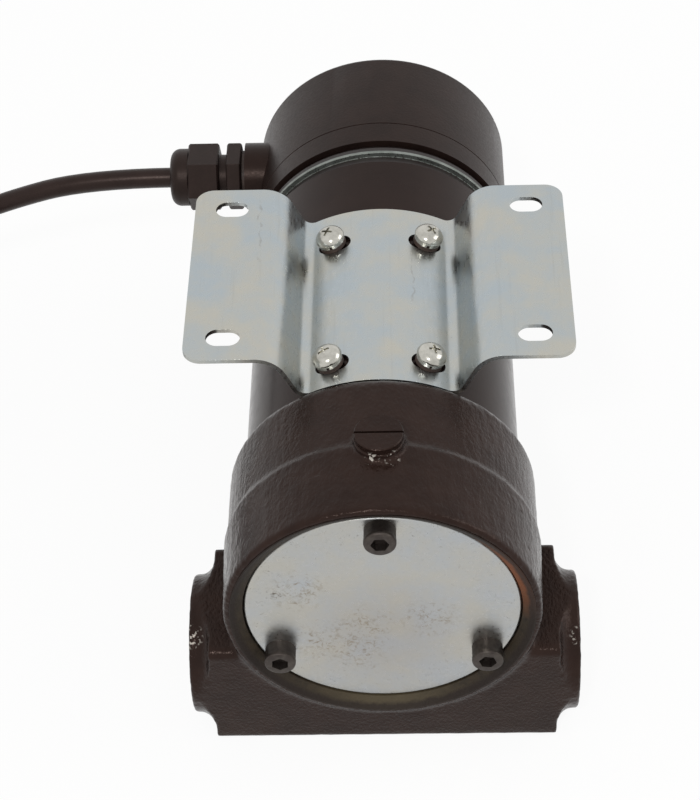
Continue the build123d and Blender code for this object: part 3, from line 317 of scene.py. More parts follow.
# Sintered magnets: charcoal grey, dry and slightly rough
ferrite = mixedFinish({
    "name": "pressed hard ferrite", "colours": ("#38383a", "#29292b"), "patch": 3.0,
    "grain": 0.4, "depth": 0.05, "gloss": (0.5, 0.65), "ior": 1.8,
})
# Wound wire under varnish: reddish copper in ridges, one wire beside the other
copperWire = mixedFinish({
    "name": "enamelled copper wire", "colours": ("#b2653b", "#8c4526"), "patch": 4.0,
    "grain": 0.9, "stretch": (1, 0.12, 1), "depth": 0.2, "gloss": (0.22, 0.35), "metal": 1,
})
# Pressed carbon: dull dark grey with a faint metallic grain
carbon = mixedFinish({
    "name": "pressed brush carbon", "colours": ("#2d2c2c", "#3b3a39"), "patch": 2.0,
    "grain": 0.3, "depth": 0.03, "gloss": (0.45, 0.6), "ior": 1.7,
})
# Punched board: warm brown with the sheets' fibres, half shiny
phenolicCard = mixedFinish({
    "name": "phenolic paper board", "colours": ("#7a5430", "#6a4727"), "patch": 6.0,
    "grain": 0.5, "stretch": (1, 1, 0.2), "depth": 0.02, "gloss": (0.35, 0.5), "ior": 1.55,
})

# Rear end plate: die-cast aluminium, painted outside but for the worn front edge of its rim
endPlan = {
    "name": "die-cast aluminium under worn black paint", "colours": ("#8d928d", "#737873"),
    "patch": 5.0, "grain": 0.6, "stretch": (1, 0.25, 1), "depth": 0.03, "gloss": (0.34, 0.48),
    "metal": 0.8, "paint": "#1c1311", "wornFrom": 0.0606, "wornTo": 0.0619, "uneven": 0.0012,
    "outside": 0.0434,                # paint lies further from the shaft than this
}
castAluminium = mixedFinish(endPlan)
endTree = castAluminium["material"]
endParts = addNode(endTree, "ShaderNodeSeparateXYZ", links={0: castAluminium["place"]})
wornStart = addNode(
    endTree, "ShaderNodeMath",
    {1: endPlan["uneven"], 2: endPlan["wornFrom"] - endPlan["uneven"] / 2},
    {0: castAluminium["grain"]}, operation="MULTIPLY_ADD",
).outputs[0]
behindStart = addNode(
    endTree, "ShaderNodeMath", links={0: endParts.outputs["Y"], 1: wornStart},
    operation="GREATER_THAN",
).outputs[0]
beforeEnd = addNode(
    endTree, "ShaderNodeMath", {1: endPlan["wornTo"]}, {0: endParts.outputs["Y"]},
    operation="LESS_THAN",
).outputs[0]
wornRim = addNode(
    endTree, "ShaderNodeMath", links={0: behindStart, 1: beforeEnd}, operation="MULTIPLY",
).outputs[0]
onOutside = addNode(
    endTree, "ShaderNodeMath", {1: endPlan["outside"]},
    {0: awayFromShaft(endTree, castAluminium["place"])}, operation="GREATER_THAN",
).outputs[0]
notWorn = addNode(
    endTree, "ShaderNodeMath", {0: 1.0}, {1: wornRim}, operation="SUBTRACT",
).outputs[0]
endPaint = addNode(
    endTree, "ShaderNodeMath", links={0: notWorn, 1: onOutside}, operation="MULTIPLY",
).outputs[0]
endColour = withMark(endTree, castAluminium["colour"], endPlan["paint"], endPaint)
endMetal = addNode(
    endTree, "ShaderNodeMapRange", {"To Min": endPlan["metal"], "To Max": 0.0},
    {"Value": endPaint},
).outputs[0]
endTree.node_tree.links.new(endColour, castAluminium["shader"].inputs["Base Color"])
endTree.node_tree.links.new(endMetal, castAluminium["shader"].inputs["Metallic"])
# Turned fittings: yellow metal, browner where it has been handled
brass = mixedFinish({
    "name": "turned brass", "colours": ("#b99a58", "#a08144"), "patch": 3.0,
    "grain": 0.5, "depth": 0.02, "gloss": (0.22, 0.35), "metal": 1,
})
# Front recess: turned iron that the weather has turned brown, rusty at its upper right
lipPlan = {
    "name": "turned iron gone brown", "colours": ("#261f17", "#352c20"), "patch": 3.0,
    "grain": 0.6, "depth": 0.12, "gloss": (0.5, 0.7), "metal": 0.05, "ior": 1.33,
    "lipTints": [
        {"at": (0.040, -0.112, 0.083), "reach": (0.022, 0.006), "most": 0.75, "colour": "#7a4422"},
        # a paler sandy colour at the bottom of the ring
        {"at": (0.0, -0.112, 0.020), "reach": (0.030, 0.006), "most": 0.55, "colour": "#5a503c"},
    ],
    "paint": "#1f1612", "paintFrom": 0.0463, "paintTo": 0.0474, "paintMost": 0.85,
    "uneven": 0.0022,
}
tarnish = mixedFinish(lipPlan)
lipTree = tarnish["material"]
lipColour = tarnish["colour"]
for mark in lipPlan["lipTints"]:
    tintShare = nearness(lipTree, tarnish["place"], mark["at"], mark["reach"], mark["most"])
    lipColour = withMark(lipTree, lipColour, mark["colour"], tintShare)
# the paint of the casting has run over its outer half
lipUneven = addNode(
    lipTree, "ShaderNodeMath", {1: lipPlan["uneven"]},
    {0: tarnish["patches"], 2: awayFromShaft(lipTree, tarnish["place"])},
    operation="MULTIPLY_ADD",
).outputs[0]
lipPaint = addNode(
    lipTree, "ShaderNodeMapRange",
    {
        "From Min": lipPlan["paintFrom"], "From Max": lipPlan["paintTo"],
        "To Max": lipPlan["paintMost"],
    },
    {"Value": lipUneven},
).outputs[0]
lipColour = withMark(lipTree, lipColour, lipPlan["paint"], lipPaint)
lipTree.node_tree.links.new(lipColour, tarnish["shader"].inputs["Base Color"])

# Cover plate: zinc on a turned disc, light grey with bluish patches, handling marks and a stain
coverPlan = {
    "name": "zinc plating on turned steel", "colours": ("#b4b2ab", "#aeb1b3"), "patch": 15.0,
    "grain": 0.9, "depth": 0.012, "gloss": (0.26, 0.4), "metal": 1, "front": -0.1103,
    "wobble": 0.012, "wobbleScale": 620.0,            # how the edges of marks stray
    "lineScale": 520.0, "lineRange": (0.50, 0.66), "lineMost": 0.9,       # crumbs 2 mm apart
    "stain": {"at": (-0.0332, 0.0742), "reach": (0.0044, 0.0016), "colour": "#2e221a"},
    # a browner, darker tone over the lower middle of the disc
    "darkerBelow": {"at": (0.0, 0.052), "reach": (0.034, 0.010), "most": 0.22, "colour": "#85776a"},
    "blots": {
        "at": [
            (-0.0196, 0.0501), (-0.0077, 0.0442), (-0.0057, 0.0573), (0.0148, 0.0604),
            (-0.0255, 0.0742),
        ],
        "reach": (0.011, 0.001), "most": 0.9, "colour": "#74603f",
    },
    # fine dark scratches, most of them near the edge and wider than real ones, so that they show
    "scratches": {
        "scale": 210.0, "half": 0.007, "broken": (0.50, 0.62), "most": 0.7,
        "reach": (0.022, 0.042), "least": 0.15, "colour": "#5d564d",
    },
}
zincCover = mixedFinish(coverPlan)
coverTree = zincCover["material"]
wobble = addNode(
    coverTree, "ShaderNodeTexNoise", {"Scale": coverPlan["wobbleScale"], "Detail": 3.0},
    {"Vector": zincCover["place"]},
)
shifted = addNode(
    coverTree, "ShaderNodeMix", {0: coverPlan["wobble"]},
    {4: zincCover["place"], 5: wobble.outputs["Color"]}, data_type="VECTOR", clamp_factor=False,
).outputs[1]


def shiftedSpot(x, z):
    # a place on the cover's face, as the shifted coordinates give it
    return [way + coverPlan["wobble"] / 2 for way in (x, coverPlan["front"], z)]


stainArea = nearness(
    coverTree, shifted, shiftedSpot(*coverPlan["stain"]["at"]), coverPlan["stain"]["reach"],
)
scribble = addNode(
    coverTree, "ShaderNodeTexNoise",
    {"Scale": coverPlan["lineScale"], "Detail": 5.0, "Roughness": 0.7, "Distortion": 1.2},
    {"Vector": zincCover["place"]},
).outputs["Fac"]
lines = addNode(
    coverTree, "ShaderNodeMapRange",
    {
        "From Min": coverPlan["lineRange"][0], "From Max": coverPlan["lineRange"][1],
        "To Max": coverPlan["lineMost"],
    },
    {"Value": scribble},
).outputs[0]
coverColour = withMark(
    coverTree, zincCover["colour"], coverPlan["stain"]["colour"], stainArea, lines,
)
darkerBelow = coverPlan["darkerBelow"]
darkerBelowShare = nearness(
    coverTree, zincCover["place"], (darkerBelow["at"][0], coverPlan["front"], darkerBelow["at"][1]),
    darkerBelow["reach"], darkerBelow["most"],
)
coverColour = withMark(coverTree, coverColour, darkerBelow["colour"], darkerBelowShare)
blots = coverPlan["blots"]
for x, z in blots["at"]:
    share = nearness(coverTree, shifted, shiftedSpot(x, z), blots["reach"], blots["most"])
    coverColour = withMark(coverTree, coverColour, blots["colour"], share, lines)
scratches = coverPlan["scratches"]
hairs = addNode(
    coverTree, "ShaderNodeTexNoise",
    {"Scale": scratches["scale"], "Detail": 3.0, "Distortion": 1.4},
    {"Vector": zincCover["place"]},
).outputs["Fac"]
hairNear = addNode(
    coverTree, "ShaderNodeMath", {1: 0.5, 2: scratches["half"]}, {0: hairs},
    operation="COMPARE",
).outputs[0]
broken = addNode(
    coverTree, "ShaderNodeMapRange",
    {
        "From Min": scratches["broken"][0], "From Max": scratches["broken"][1],
        "To Max": scratches["most"],
    },
    {"Value": scribble},
).outputs[0]
nearEdge = nearness(
    coverTree, zincCover["place"], (0, coverFace * mm, shaftZ), scratches["reach"],
    least=scratches["least"],
)
coverColour = withMark(
    coverTree, coverColour, scratches["colour"], hairNear, broken, nearEdge,
)
coverTree.node_tree.links.new(coverColour, zincCover["shader"].inputs["Base Color"])

# Bracket: zinc on bent sheet, patchy grey with blue, rolling marks along the bends
sheetPlan = {
    "name": "zinc plating on rolled sheet", "colours": ("#b8b6ad", "#abb3b7"), "patch": 19.0,
    "grain": 1.0, "stretch": (1, 0.22, 1), "depth": 0.014, "gloss": (0.24, 0.38), "metal": 1,
    "scratches": [                    # X, then from and to along Y
        (-0.0398, -0.0090, 0.0226),
        (0.0108, -0.0177, 0.0072),
    ],
    # scratches and rolling marks are wider than real ones, so that they show
    "scratchColour": "#8b8882", "scratchHalf": 0.0003, "waver": 0.006, "waverScale": 130.0,
    "crumbScale": 420.0, "crumbRange": (0.42, 0.62), "crumbMost": 0.4,
    "streakScale": 520.0, "streakLong": 0.03, "streakRange": (0.58, 0.78), "streakMost": 0.22,
    "dot": (0.0233, -0.0304, 0.1061), "dotColour": "#2a2622", "dotReach": (0.0006, 0.0003),
}
zincSheet = mixedFinish(sheetPlan)
sheetTree = zincSheet["material"]
rolled = addNode(
    sheetTree, "ShaderNodeMapping", {"Scale": (1, sheetPlan["streakLong"], 1)},
    {"Vector": zincSheet["place"]},
).outputs[0]
streaks = addNode(
    sheetTree, "ShaderNodeTexNoise",
    {"Scale": sheetPlan["streakScale"], "Detail": 4.0, "Roughness": 0.7}, {"Vector": rolled},
).outputs["Fac"]
streakShare = addNode(
    sheetTree, "ShaderNodeMapRange",
    {
        "From Min": sheetPlan["streakRange"][0], "From Max": sheetPlan["streakRange"][1],
        "To Max": sheetPlan["streakMost"],
    },
    {"Value": streaks},
).outputs[0]
sheetColour = withMark(
    sheetTree, zincSheet["colour"], sheetPlan["scratchColour"], streakShare,
)
sheetParts = addNode(sheetTree, "ShaderNodeSeparateXYZ", links={0: zincSheet["place"]})
crumbs = addNode(
    sheetTree, "ShaderNodeTexNoise", {"Scale": sheetPlan["crumbScale"], "Detail": 5.0},
    {"Vector": zincSheet["place"]},
).outputs["Fac"]
crumbShare = addNode(
    sheetTree, "ShaderNodeMapRange",
    {
        "From Min": sheetPlan["crumbRange"][0], "From Max": sheetPlan["crumbRange"][1],
        "To Max": sheetPlan["crumbMost"],
    },
    {"Value": crumbs},
).outputs[0]
waver = addNode(
    sheetTree, "ShaderNodeTexNoise", {"Scale": sheetPlan["waverScale"], "Detail": 3.0},
    {"Vector": zincSheet["place"]},
).outputs["Fac"]
waveringX = addNode(
    sheetTree, "ShaderNodeMath", {1: sheetPlan["waver"]},
    {0: waver, 2: sheetParts.outputs["X"]}, operation="MULTIPLY_ADD",
).outputs[0]
for lineX, lineFrom, lineTo in sheetPlan["scratches"]:
    aside = addNode(
        sheetTree, "ShaderNodeMath",
        {1: lineX + sheetPlan["waver"] / 2, 2: sheetPlan["scratchHalf"]}, {0: waveringX},
        operation="COMPARE",
    ).outputs[0]
    along = addNode(
        sheetTree, "ShaderNodeMath", {1: (lineFrom + lineTo) / 2, 2: (lineTo - lineFrom) / 2},
        {0: sheetParts.outputs["Y"]}, operation="COMPARE",
    ).outputs[0]
    sheetColour = withMark(
        sheetTree, sheetColour, sheetPlan["scratchColour"], aside, along, crumbShare,
    )
dotShare = nearness(sheetTree, zincSheet["place"], sheetPlan["dot"], sheetPlan["dotReach"])
sheetColour = withMark(sheetTree, sheetColour, sheetPlan["dotColour"], dotShare)
sheetTree.node_tree.links.new(sheetColour, zincSheet["shader"].inputs["Base Color"])
print("finishes made")


# Pieces
def placePiece(name, shape, finish, body, standsFor=(), sharp=32):
    # smooth faces with their sharp edges kept, on the body that the piece moves with
    for face in shape.faces:
        face.smooth = True
    for edge in shape.edges:
        edge.smooth = len(edge.link_faces) == 2 and edge.calc_face_angle(0) < radians(sharp)
    data = bpy.data.meshes.new(name)
    shape.to_mesh(data)
    shape.free()
    data.materials.append(finish["material"])
    piece = newObject(name, data)
    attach(piece, body)
    if standsFor:
        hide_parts(*standsFor)
    return piece


def mergedCopy(nodeName):
    # the node's loose triangles joined up in a new mesh
    shape = bmesh.new()
    shape.from_mesh(frame["nodes"][nodeName].data)
    bmesh.ops.remove_doubles(shape, verts=shape.verts, dist=0.001 * mm)
    return shape


def bodyOf(nodeName):
    return frame["nodes"][nodeName].parent.name.split(":")[1]


def roundEdges(piece, width, rows, sharp=32):
    # live rounding of the edges that turn by more than that many degrees
    rounding = piece.modifiers.new("rounded edges", "BEVEL")
    rounding.width = width * mm
    rounding.segments = rows
    rounding.limit_method = "ANGLE"
    rounding.angle_limit = radians(sharp)
    rounding.harden_normals = True


def softened(nodeName, finish, edge, rows=3, sharp=32, shapedBy=None):
    # a copy of the node with flat faces made whole and its edges rounded by that many millimetres
    shape = mergedCopy(nodeName)
    if shapedBy:
        shapedBy(shape)
    bmesh.ops.dissolve_limit(
        shape, angle_limit=radians(0.3), verts=shape.verts, edges=shape.edges,
    )
    piece = placePiece(
        nodeName + "_finished", shape, finish, bodyOf(nodeName), (nodeName,),
        sharp,
    )
    roundEdges(piece, edge, rows, sharp)
    return piece


# Cord: the route's points are those of the solid tube, and the coil's turns are worked out
cordShape = {
    "diameter": 7.6,
    "route": [
        (-78.8, 96.25, 72.5),
        (-112.0, 96.25, 72.5),
        (-146.0, 96.6, 62.0),
        (-180.0, 97.2, 46.0),
        (-215.0, 97.0, 31.0),
        (-243.0, 86.0, 20.5),
        (-259.6, 63.0, 14.5),
    ],
    "tail": [
        (-260.6, 2.0, 4.5),
        (-255.6, -28.0, 3.9),
        (-255.6, -57.0, 3.9),
    ],
    "coilMiddle": (-212.0, 38.0),
    "turns": [47.6, 40.0, 32.4, 32.4, 40.0, 47.6],      # radius of each turn, top layer first
    "heights": [12.7, 12.7, 12.7, 5.1, 5.1, 5.1],
    "moves": [(140, 260), (140, 260), (80, 200), (30, 150), (30, 150)],   # steps to the next turn
    "perTurn": 24,
}
coilPoints = []
for step in range(5 * cordShape["perTurn"] + 1):
    lap = min(step // cordShape["perTurn"], 4)
    inLap = step * 360 / cordShape["perTurn"] - lap * 360
    first, last = cordShape["moves"][lap]
    share = (1 - cos(pi * min(max((inLap - first) / (last - first), 0), 1))) / 2
    wide = cordShape["turns"][lap] * (1 - share) + cordShape["turns"][lap + 1] * share
    high = cordShape["heights"][lap] * (1 - share) + cordShape["heights"][lap + 1] * share
    wide /= cos(pi / cordShape["perTurn"]) ** 0.5       # the curve cuts inside its corners
    angle = radians(180 + step * 360 / cordShape["perTurn"])
    middleX, middleY = cordShape["coilMiddle"]
    coilPoints.append((middleX + wide * cos(angle), middleY + wide * sin(angle), high))
cordLine = bpy.data.curves.new("supply cord", "CURVE")
cordLine.dimensions = "3D"
cordLine.bevel_depth = cordShape["diameter"] / 2 * mm
cordLine.bevel_resolution = 6
cordLine.resolution_u = 8
cordLine.use_fill_caps = True
cordSpline = cordLine.splines.new("NURBS")
cordPoints = cordShape["route"] + coilPoints + cordShape["tail"]
cordSpline.points.add(len(cordPoints) - 1)
for spot, (x, y, z) in zip(cordSpline.points, cordPoints):
    spot.co = (x * mm, y * mm, z * mm, 1)
cordSpline.order_u = 3
cordSpline.use_endpoint_u = True
cordLine.materials.append(sheathPvc["material"])
cord = newObject("supply_cord", cordLine)
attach(cord, "pump")
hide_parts("power_cord", "cord_coil", "cord_tail")

# Cores and battery rings: red and black insulation up to the crimps, tinned brass after them
cordEnd = softened("ring_terminals", brass, 0.12, 2)
coresPlan = {
    "red": "#a3201c", "black": "#1b1a1a", "crimpY": -0.0892, "middleX": -0.2556,
    "tin": ("#c6b78e", "#b19a5e"), "wearScale": 420.0, "gloss": (0.24, 0.42),
}
cores, coreShader, corePlace = startMaterial("two insulated cores and tinned rings")
coreParts = addNode(cores, "ShaderNodeSeparateXYZ", links={0: corePlace})
insulated = addNode(
    cores, "ShaderNodeMath", {1: coresPlan["crimpY"]}, {0: coreParts.outputs["Y"]},
    operation="GREATER_THAN",
).outputs[0]
onRight = addNode(
    cores, "ShaderNodeMath", {1: coresPlan["middleX"]}, {0: coreParts.outputs["X"]},
    operation="GREATER_THAN",
).outputs[0]
coreColour = addNode(
    cores, "ShaderNodeMix",
    {6: linearColour(coresPlan["red"]), 7: linearColour(coresPlan["black"])}, {0: onRight},
    data_type="RGBA",
).outputs[2]
tinWear = addNode(
    cores, "ShaderNodeTexNoise", {"Scale": coresPlan["wearScale"], "Detail": 4.0},
    {"Vector": corePlace},
).outputs["Fac"]
tinColour = addNode(
    cores, "ShaderNodeMix",
    {6: linearColour(coresPlan["tin"][0]), 7: linearColour(coresPlan["tin"][1])}, {0: tinWear},
    data_type="RGBA",
).outputs[2]
endColour = addNode(
    cores, "ShaderNodeMix", {}, {0: insulated, 6: tinColour, 7: coreColour}, data_type="RGBA",
).outputs[2]
bareEnd = addNode(
    cores, "ShaderNodeMath", {0: 1.0}, {1: insulated}, operation="SUBTRACT",
).outputs[0]
endGloss = addNode(
    cores, "ShaderNodeMapRange",
    {"To Min": coresPlan["gloss"][0], "To Max": coresPlan["gloss"][1]}, {"Value": tinWear},
).outputs[0]
cores.node_tree.links.new(endColour, coreShader.inputs["Base Color"])
cores.node_tree.links.new(bareEnd, coreShader.inputs["Metallic"])
cores.node_tree.links.new(endGloss, coreShader.inputs["Roughness"])
cordEnd.data.materials[0] = cores

# Tie round the coil: the strap of the solid, with its lock and its cut end at the front
tieShape = {
    "lock": (-212.0, -13.2, 12.0), "lockSize": (6.6, 4.6, 5.4),
    "endSize": (4.4, 1.2, 7.0), "endOut": -0.6, "endDrop": -5.6, "edge": 0.45,
}
tie = softened("coil_tie", tieNylon, 0.3, 3)
tieLock = bmesh.new()
for size, out, drop in (
    (tieShape["lockSize"], 0, 0.0), (tieShape["endSize"], tieShape["endOut"], tieShape["endDrop"]),
):
    made = bmesh.ops.create_cube(tieLock, size=1.0)["verts"]
    bmesh.ops.scale(tieLock, vec=Vector(size) * mm, verts=made)
    spotLock = Vector(tieShape["lock"]) + Vector((0, out, drop))
    bmesh.ops.translate(tieLock, vec=spotLock * mm, verts=made)
bmesh.ops.bevel(
    tieLock, geom=list(tieLock.edges), offset=tieShape["edge"] * mm, segments=3, profile=0.5,
    affect="EDGES", material=-1, clamp_overlap=True,
)
tieHead = placePiece("coil_tie_lock", tieLock, tieNylon, "pump")
print("cord, its coil, tie and rings in place")

# Pump casting: one soft painted skin over the solid, with the turned faces left bare
castingPlan = {
    "voxel": 0.72, "keep": 0.58, "softness": 2,
    "grainSize": 2.2, "grainDepth": 0.12,         # of the cast skin
    "recessR": 47.6, "recessFront": -0.1129, "headFoot": 0.032,
    "boreR": 16.9, "boreMiddle": 3, "boreFrom": 10, "inward": 0.3,
    "threadR": 16.75, "threadFrom": 44.6, "threadTo": 61.8,
    "easedBore": 0.22,                # so that the vanes' tips stay clear of the softened wall
}
castingBlank = mergedCopy("pump_casting")
blankData = bpy.data.meshes.new("casting blank")
castingBlank.to_mesh(blankData)
castingBlank.free()
blank = newObject("casting blank", blankData)
skin = blank.modifiers.new("skin", "REMESH")
skin.mode = "VOXEL"
skin.voxel_size = castingPlan["voxel"] * mm
rubbed = blank.modifiers.new("rubbed edges", "SMOOTH")
rubbed.factor = 0.5
rubbed.iterations = castingPlan["softness"]
fewer = blank.modifiers.new("fewer faces", "DECIMATE")
fewer.ratio = castingPlan["keep"]
bpy.context.view_layer.update()
castingData = bpy.data.meshes.new_from_object(
    blank.evaluated_get(bpy.context.evaluated_depsgraph_get())
)
bpy.data.objects.remove(blank)
castingData.attributes.new("bare", "FLOAT", "POINT")
castingShape = bmesh.new()
castingShape.from_mesh(castingData)
bareLayer = castingShape.verts.layers.float["bare"]
castingShape.normal_update()
for vert in castingShape.verts:
    spot = vert.co
    fromShaft = Vector((spot.x, 0, spot.z - shaftZ)).length / mm
    outFromPort = Vector((0, spot.y - portLine.y, spot.z - portLine.z))
    fromPort = outFromPort.length / mm
    outX = abs(spot.x) / mm
    inBore = castingPlan["boreMiddle"] < fromPort < castingPlan["boreR"]
    away = outFromPort.normalized()
    inHead = (
        fromShaft < castingPlan["recessR"] and spot.y > castingPlan["recessFront"]
        and spot.z > castingPlan["headFoot"]
    )
    if inBore and outX > castingPlan["boreFrom"] and vert.normal.dot(away) < castingPlan["inward"]:
        vert[bareLayer] = 1.0
        if castingPlan["threadFrom"] < outX < castingPlan["threadTo"]:
            onLine = Vector((spot.x, portLine.y, portLine.z))
            vert.co = onLine + away * castingPlan["threadR"] * mm
    elif inHead:
        vert[bareLayer] = 1.0
        vert.co = spot - vert.normal * castingPlan["easedBore"] * mm
    else:
        peel = noise.noise(spot / (castingPlan["grainSize"] * mm)) - 1.0
        vert.co = spot + vert.normal * peel * castingPlan["grainDepth"] * mm
placePiece(
    "casting_painted", castingShape, castPaint, "pump",
    ("pump_casting",), 180,
)
bpy.data.meshes.remove(castingData)

# Turned lip of the recess round the cover, its outline in radii and ways behind the cover's face
recessPlan = {"steps": 160, "outline": [
    (43.75, 5.9), (43.75, -0.15), (47.4, -3.04), (47.85, -3.04), (47.85, -2.4), (44.7, 0.4),
    (44.7, 5.9),
]}
lipMiddle = Vector((0, coverFace * mm, shaftZ))
lipOutward = Vector((0, 1, 0)).orthogonal().normalized()
lipShape = bmesh.new()
lipCorners = [
    lipShape.verts.new(lipMiddle + (lipOutward * radius + Vector((0, way, 0))) * mm)
    for radius, way in recessPlan["outline"]
]
lipEdges = [lipShape.edges.new(pair) for pair in zip(lipCorners, lipCorners[1:] + lipCorners[:1])]
bmesh.ops.spin(
    lipShape, geom=lipCorners + lipEdges, cent=lipMiddle, axis=(0, 1, 0), angle=tau,
    steps=recessPlan["steps"], use_merge=True,
)
bmesh.ops.remove_doubles(lipShape, verts=lipShape.verts, dist=0.002 * mm)
bmesh.ops.recalc_face_normals(lipShape, faces=lipShape.faces)
placePiece("recess_lip", lipShape, tarnish, "pump")

# Pipe threads in the ports, a sleeve of whole turns
threadPlan = {
    "pitch": 2.309, "turns": 7, "steps": 48, "from": 61.9, "wall": 0.15,
    "crestR": 15.15, "rootR": 16.45, "crest": (0.45, 0.60), "root": (0.12, 0.95),
}
threadOutline = [                     # way along one pitch, and radius
    (0.0, threadPlan["rootR"]), (threadPlan["root"][0], threadPlan["rootR"]),
    (threadPlan["crest"][0], threadPlan["crestR"]), (threadPlan["crest"][1], threadPlan["crestR"]),
    (threadPlan["root"][1], threadPlan["rootR"]), (1.0, threadPlan["rootR"]),
]
for side, portName in ((-1, "left_port_thread"), (1, "right_port_thread")):
    sleeve = bmesh.new()
    start = side * threadPlan["from"] * mm
    pitch = threadPlan["pitch"]
    ends = [
        sleeve.verts.new((start - side * way * pitch * mm, portLine.y, portLine.z + r * mm))
        for way, r in threadOutline
    ]
    links = [sleeve.edges.new(pair) for pair in zip(ends, ends[1:])]
    bmesh.ops.spin(
        sleeve, geom=ends + links, cent=Vector((start, portLine.y, portLine.z)), axis=(1, 0, 0),
        dvec=(-side * pitch * mm / threadPlan["steps"], 0, 0),
        angle=tau * threadPlan["turns"], steps=threadPlan["steps"] * threadPlan["turns"],
    )
    bmesh.ops.remove_doubles(sleeve, verts=sleeve.verts, dist=0.02 * mm)
    bmesh.ops.recalc_face_normals(sleeve, faces=sleeve.faces)
    bmesh.ops.solidify(sleeve, geom=list(sleeve.faces), thickness=threadPlan["wall"] * mm)
    bmesh.ops.recalc_face_normals(sleeve, faces=sleeve.faces)
    placePiece(portName, sleeve, rotorIron, "pump", (), 50)
print("casting in place")

# Three socket screws of the cover: faint knurl behind, rounded front edge, hexagon socket
coverScrewPlan = {
    "places": [(38.0, 90), (38.0, 210), (38.0, 330)], "around": 72, "turnPer": 1.7,
    "rings": [
        (4.9, 0.0), (4.9, 0.45), (4.9, 3.9), (5.0, 4.25), (5.0, 5.3), (4.9, 5.66), (4.66, 5.9),
        (4.3, 6.0),
    ],
    "knurl": 0.14, "knurled": (1, 2), "across": 5.0, "head": 6.0, "socket": 3.0,
    "shankR": 3.0, "shank": 16.0, "shankIn": 0.5,
}
screwShape = bmesh.new()


def drawnOn(shape, loop):
    # an open loop drawn out into a new one: its vertices and the edges between them
    drawn = bmesh.ops.extrude_edge_only(shape, edges=loop)["geom"]
    ring = [g for g in drawn if isinstance(g, bmesh.types.BMVert)]
    loop = [
        g for g in drawn if isinstance(g, bmesh.types.BMEdge) and all(v in ring for v in g.verts)
    ]
    return ring, loop


for reach, bearing in coverScrewPlan["places"]:
    around = coverScrewPlan["around"]
    made = set(bmesh.ops.create_circle(
        screwShape, cap_ends=False, radius=coverScrewPlan["rings"][0][0] * mm, segments=around,
    )["verts"])
    aroundLoop = [e for e in screwShape.edges if all(v in made for v in e.verts)]
    for place, (radius, height) in enumerate(coverScrewPlan["rings"][1:], start=1):
        ring, aroundLoop = drawnOn(screwShape, aroundLoop)
        made.update(ring)
        for vert in ring:
            turned = Vector((vert.co.x, vert.co.y)).normalized()
            step = round((turned.angle_signed(Vector((1, 0))) % tau) / tau * around)
            knurled = place in coverScrewPlan["knurled"] and step % 2
            cut = coverScrewPlan["knurl"] if knurled else 0
            spot = Vector((turned.x * (radius - cut), turned.y * (radius - cut), height))
            vert.co = spot * mm
    for depth in (coverScrewPlan["head"], coverScrewPlan["head"] - coverScrewPlan["socket"]):
        ring, aroundLoop = drawnOn(screwShape, aroundLoop)
        made.update(ring)
        for vert in ring:
            turned = Vector((vert.co.x, vert.co.y)).normalized()
            bearingHere = turned.angle_signed(Vector((1, 0)))
            corner = (bearingHere + radians(30)) % radians(60) - radians(30)
            flat = coverScrewPlan["across"] / 2 / cos(corner)
            vert.co = Vector((turned.x * flat, turned.y * flat, depth)) * mm
    bmesh.ops.contextual_create(screwShape, geom=aroundLoop)
    shank = bmesh.ops.create_cone(
        screwShape, cap_ends=True, segments=40, radius1=coverScrewPlan["shankR"] * mm,
        radius2=coverScrewPlan["shankR"] * mm,
        depth=(coverScrewPlan["shank"] + coverScrewPlan["shankIn"]) * mm,
    )["verts"]
    back = (coverScrewPlan["shankIn"] - coverScrewPlan["shank"]) / 2
    bmesh.ops.translate(screwShape, vec=(0, 0, back * mm), verts=shank)
    openEdges = [e for e in screwShape.edges if e.is_boundary]
    bmesh.ops.contextual_create(screwShape, geom=openEdges)
    made.update(shank)
    head = Matrix.Translation((
        reach * cos(radians(bearing)) * mm, coverFace * mm,
        shaftZ + reach * sin(radians(bearing)) * mm,
    ))
    head = head @ Matrix.Rotation(radians(90), 4, "X")
    head = head @ Matrix.Rotation(radians(bearing * coverScrewPlan["turnPer"]), 4, "Z")
    bmesh.ops.transform(screwShape, matrix=head, verts=list(made))
bmesh.ops.recalc_face_normals(screwShape, faces=screwShape.faces)
placePiece(
    "cover_screws_knurled", screwShape, oxideSteel, "pump",
    ("cover_screws",), 40,
)

# Priming plug: the solid's, with paint run into its slot
plugPlan = {
    "middleY": -85.85, "slotHalf": 0.8, "openHalf": 0.4, "slotFoot": 119.3, "paintedFoot": 119.75,
    "slotPart": 118.4, "near": 0.02, "edge": 0.45,
}
plugShape = mergedCopy("priming_plug")
for vert in plugShape.verts:
    away = vert.co.y / mm - plugPlan["middleY"]
    onSlot = abs(abs(away) - plugPlan["slotHalf"]) < plugPlan["near"]
    if vert.co.z / mm > plugPlan["slotPart"] and onSlot:
        toSide = plugPlan["openHalf"] * (1 if away > 0 else -1)
        vert.co.y = (plugPlan["middleY"] + toSide) * mm
        if abs(vert.co.z / mm - plugPlan["slotFoot"]) < plugPlan["near"]:
            vert.co.z = plugPlan["paintedFoot"] * mm
bmesh.ops.dissolve_limit(
    plugShape, angle_limit=radians(0.3), verts=plugShape.verts, edges=plugShape.edges,
)
plug = placePiece(
    "priming_plug_painted", plugShape, castPaint, "pump",
    ("priming_plug",),
)
roundEdges(plug, plugPlan["edge"], 3)

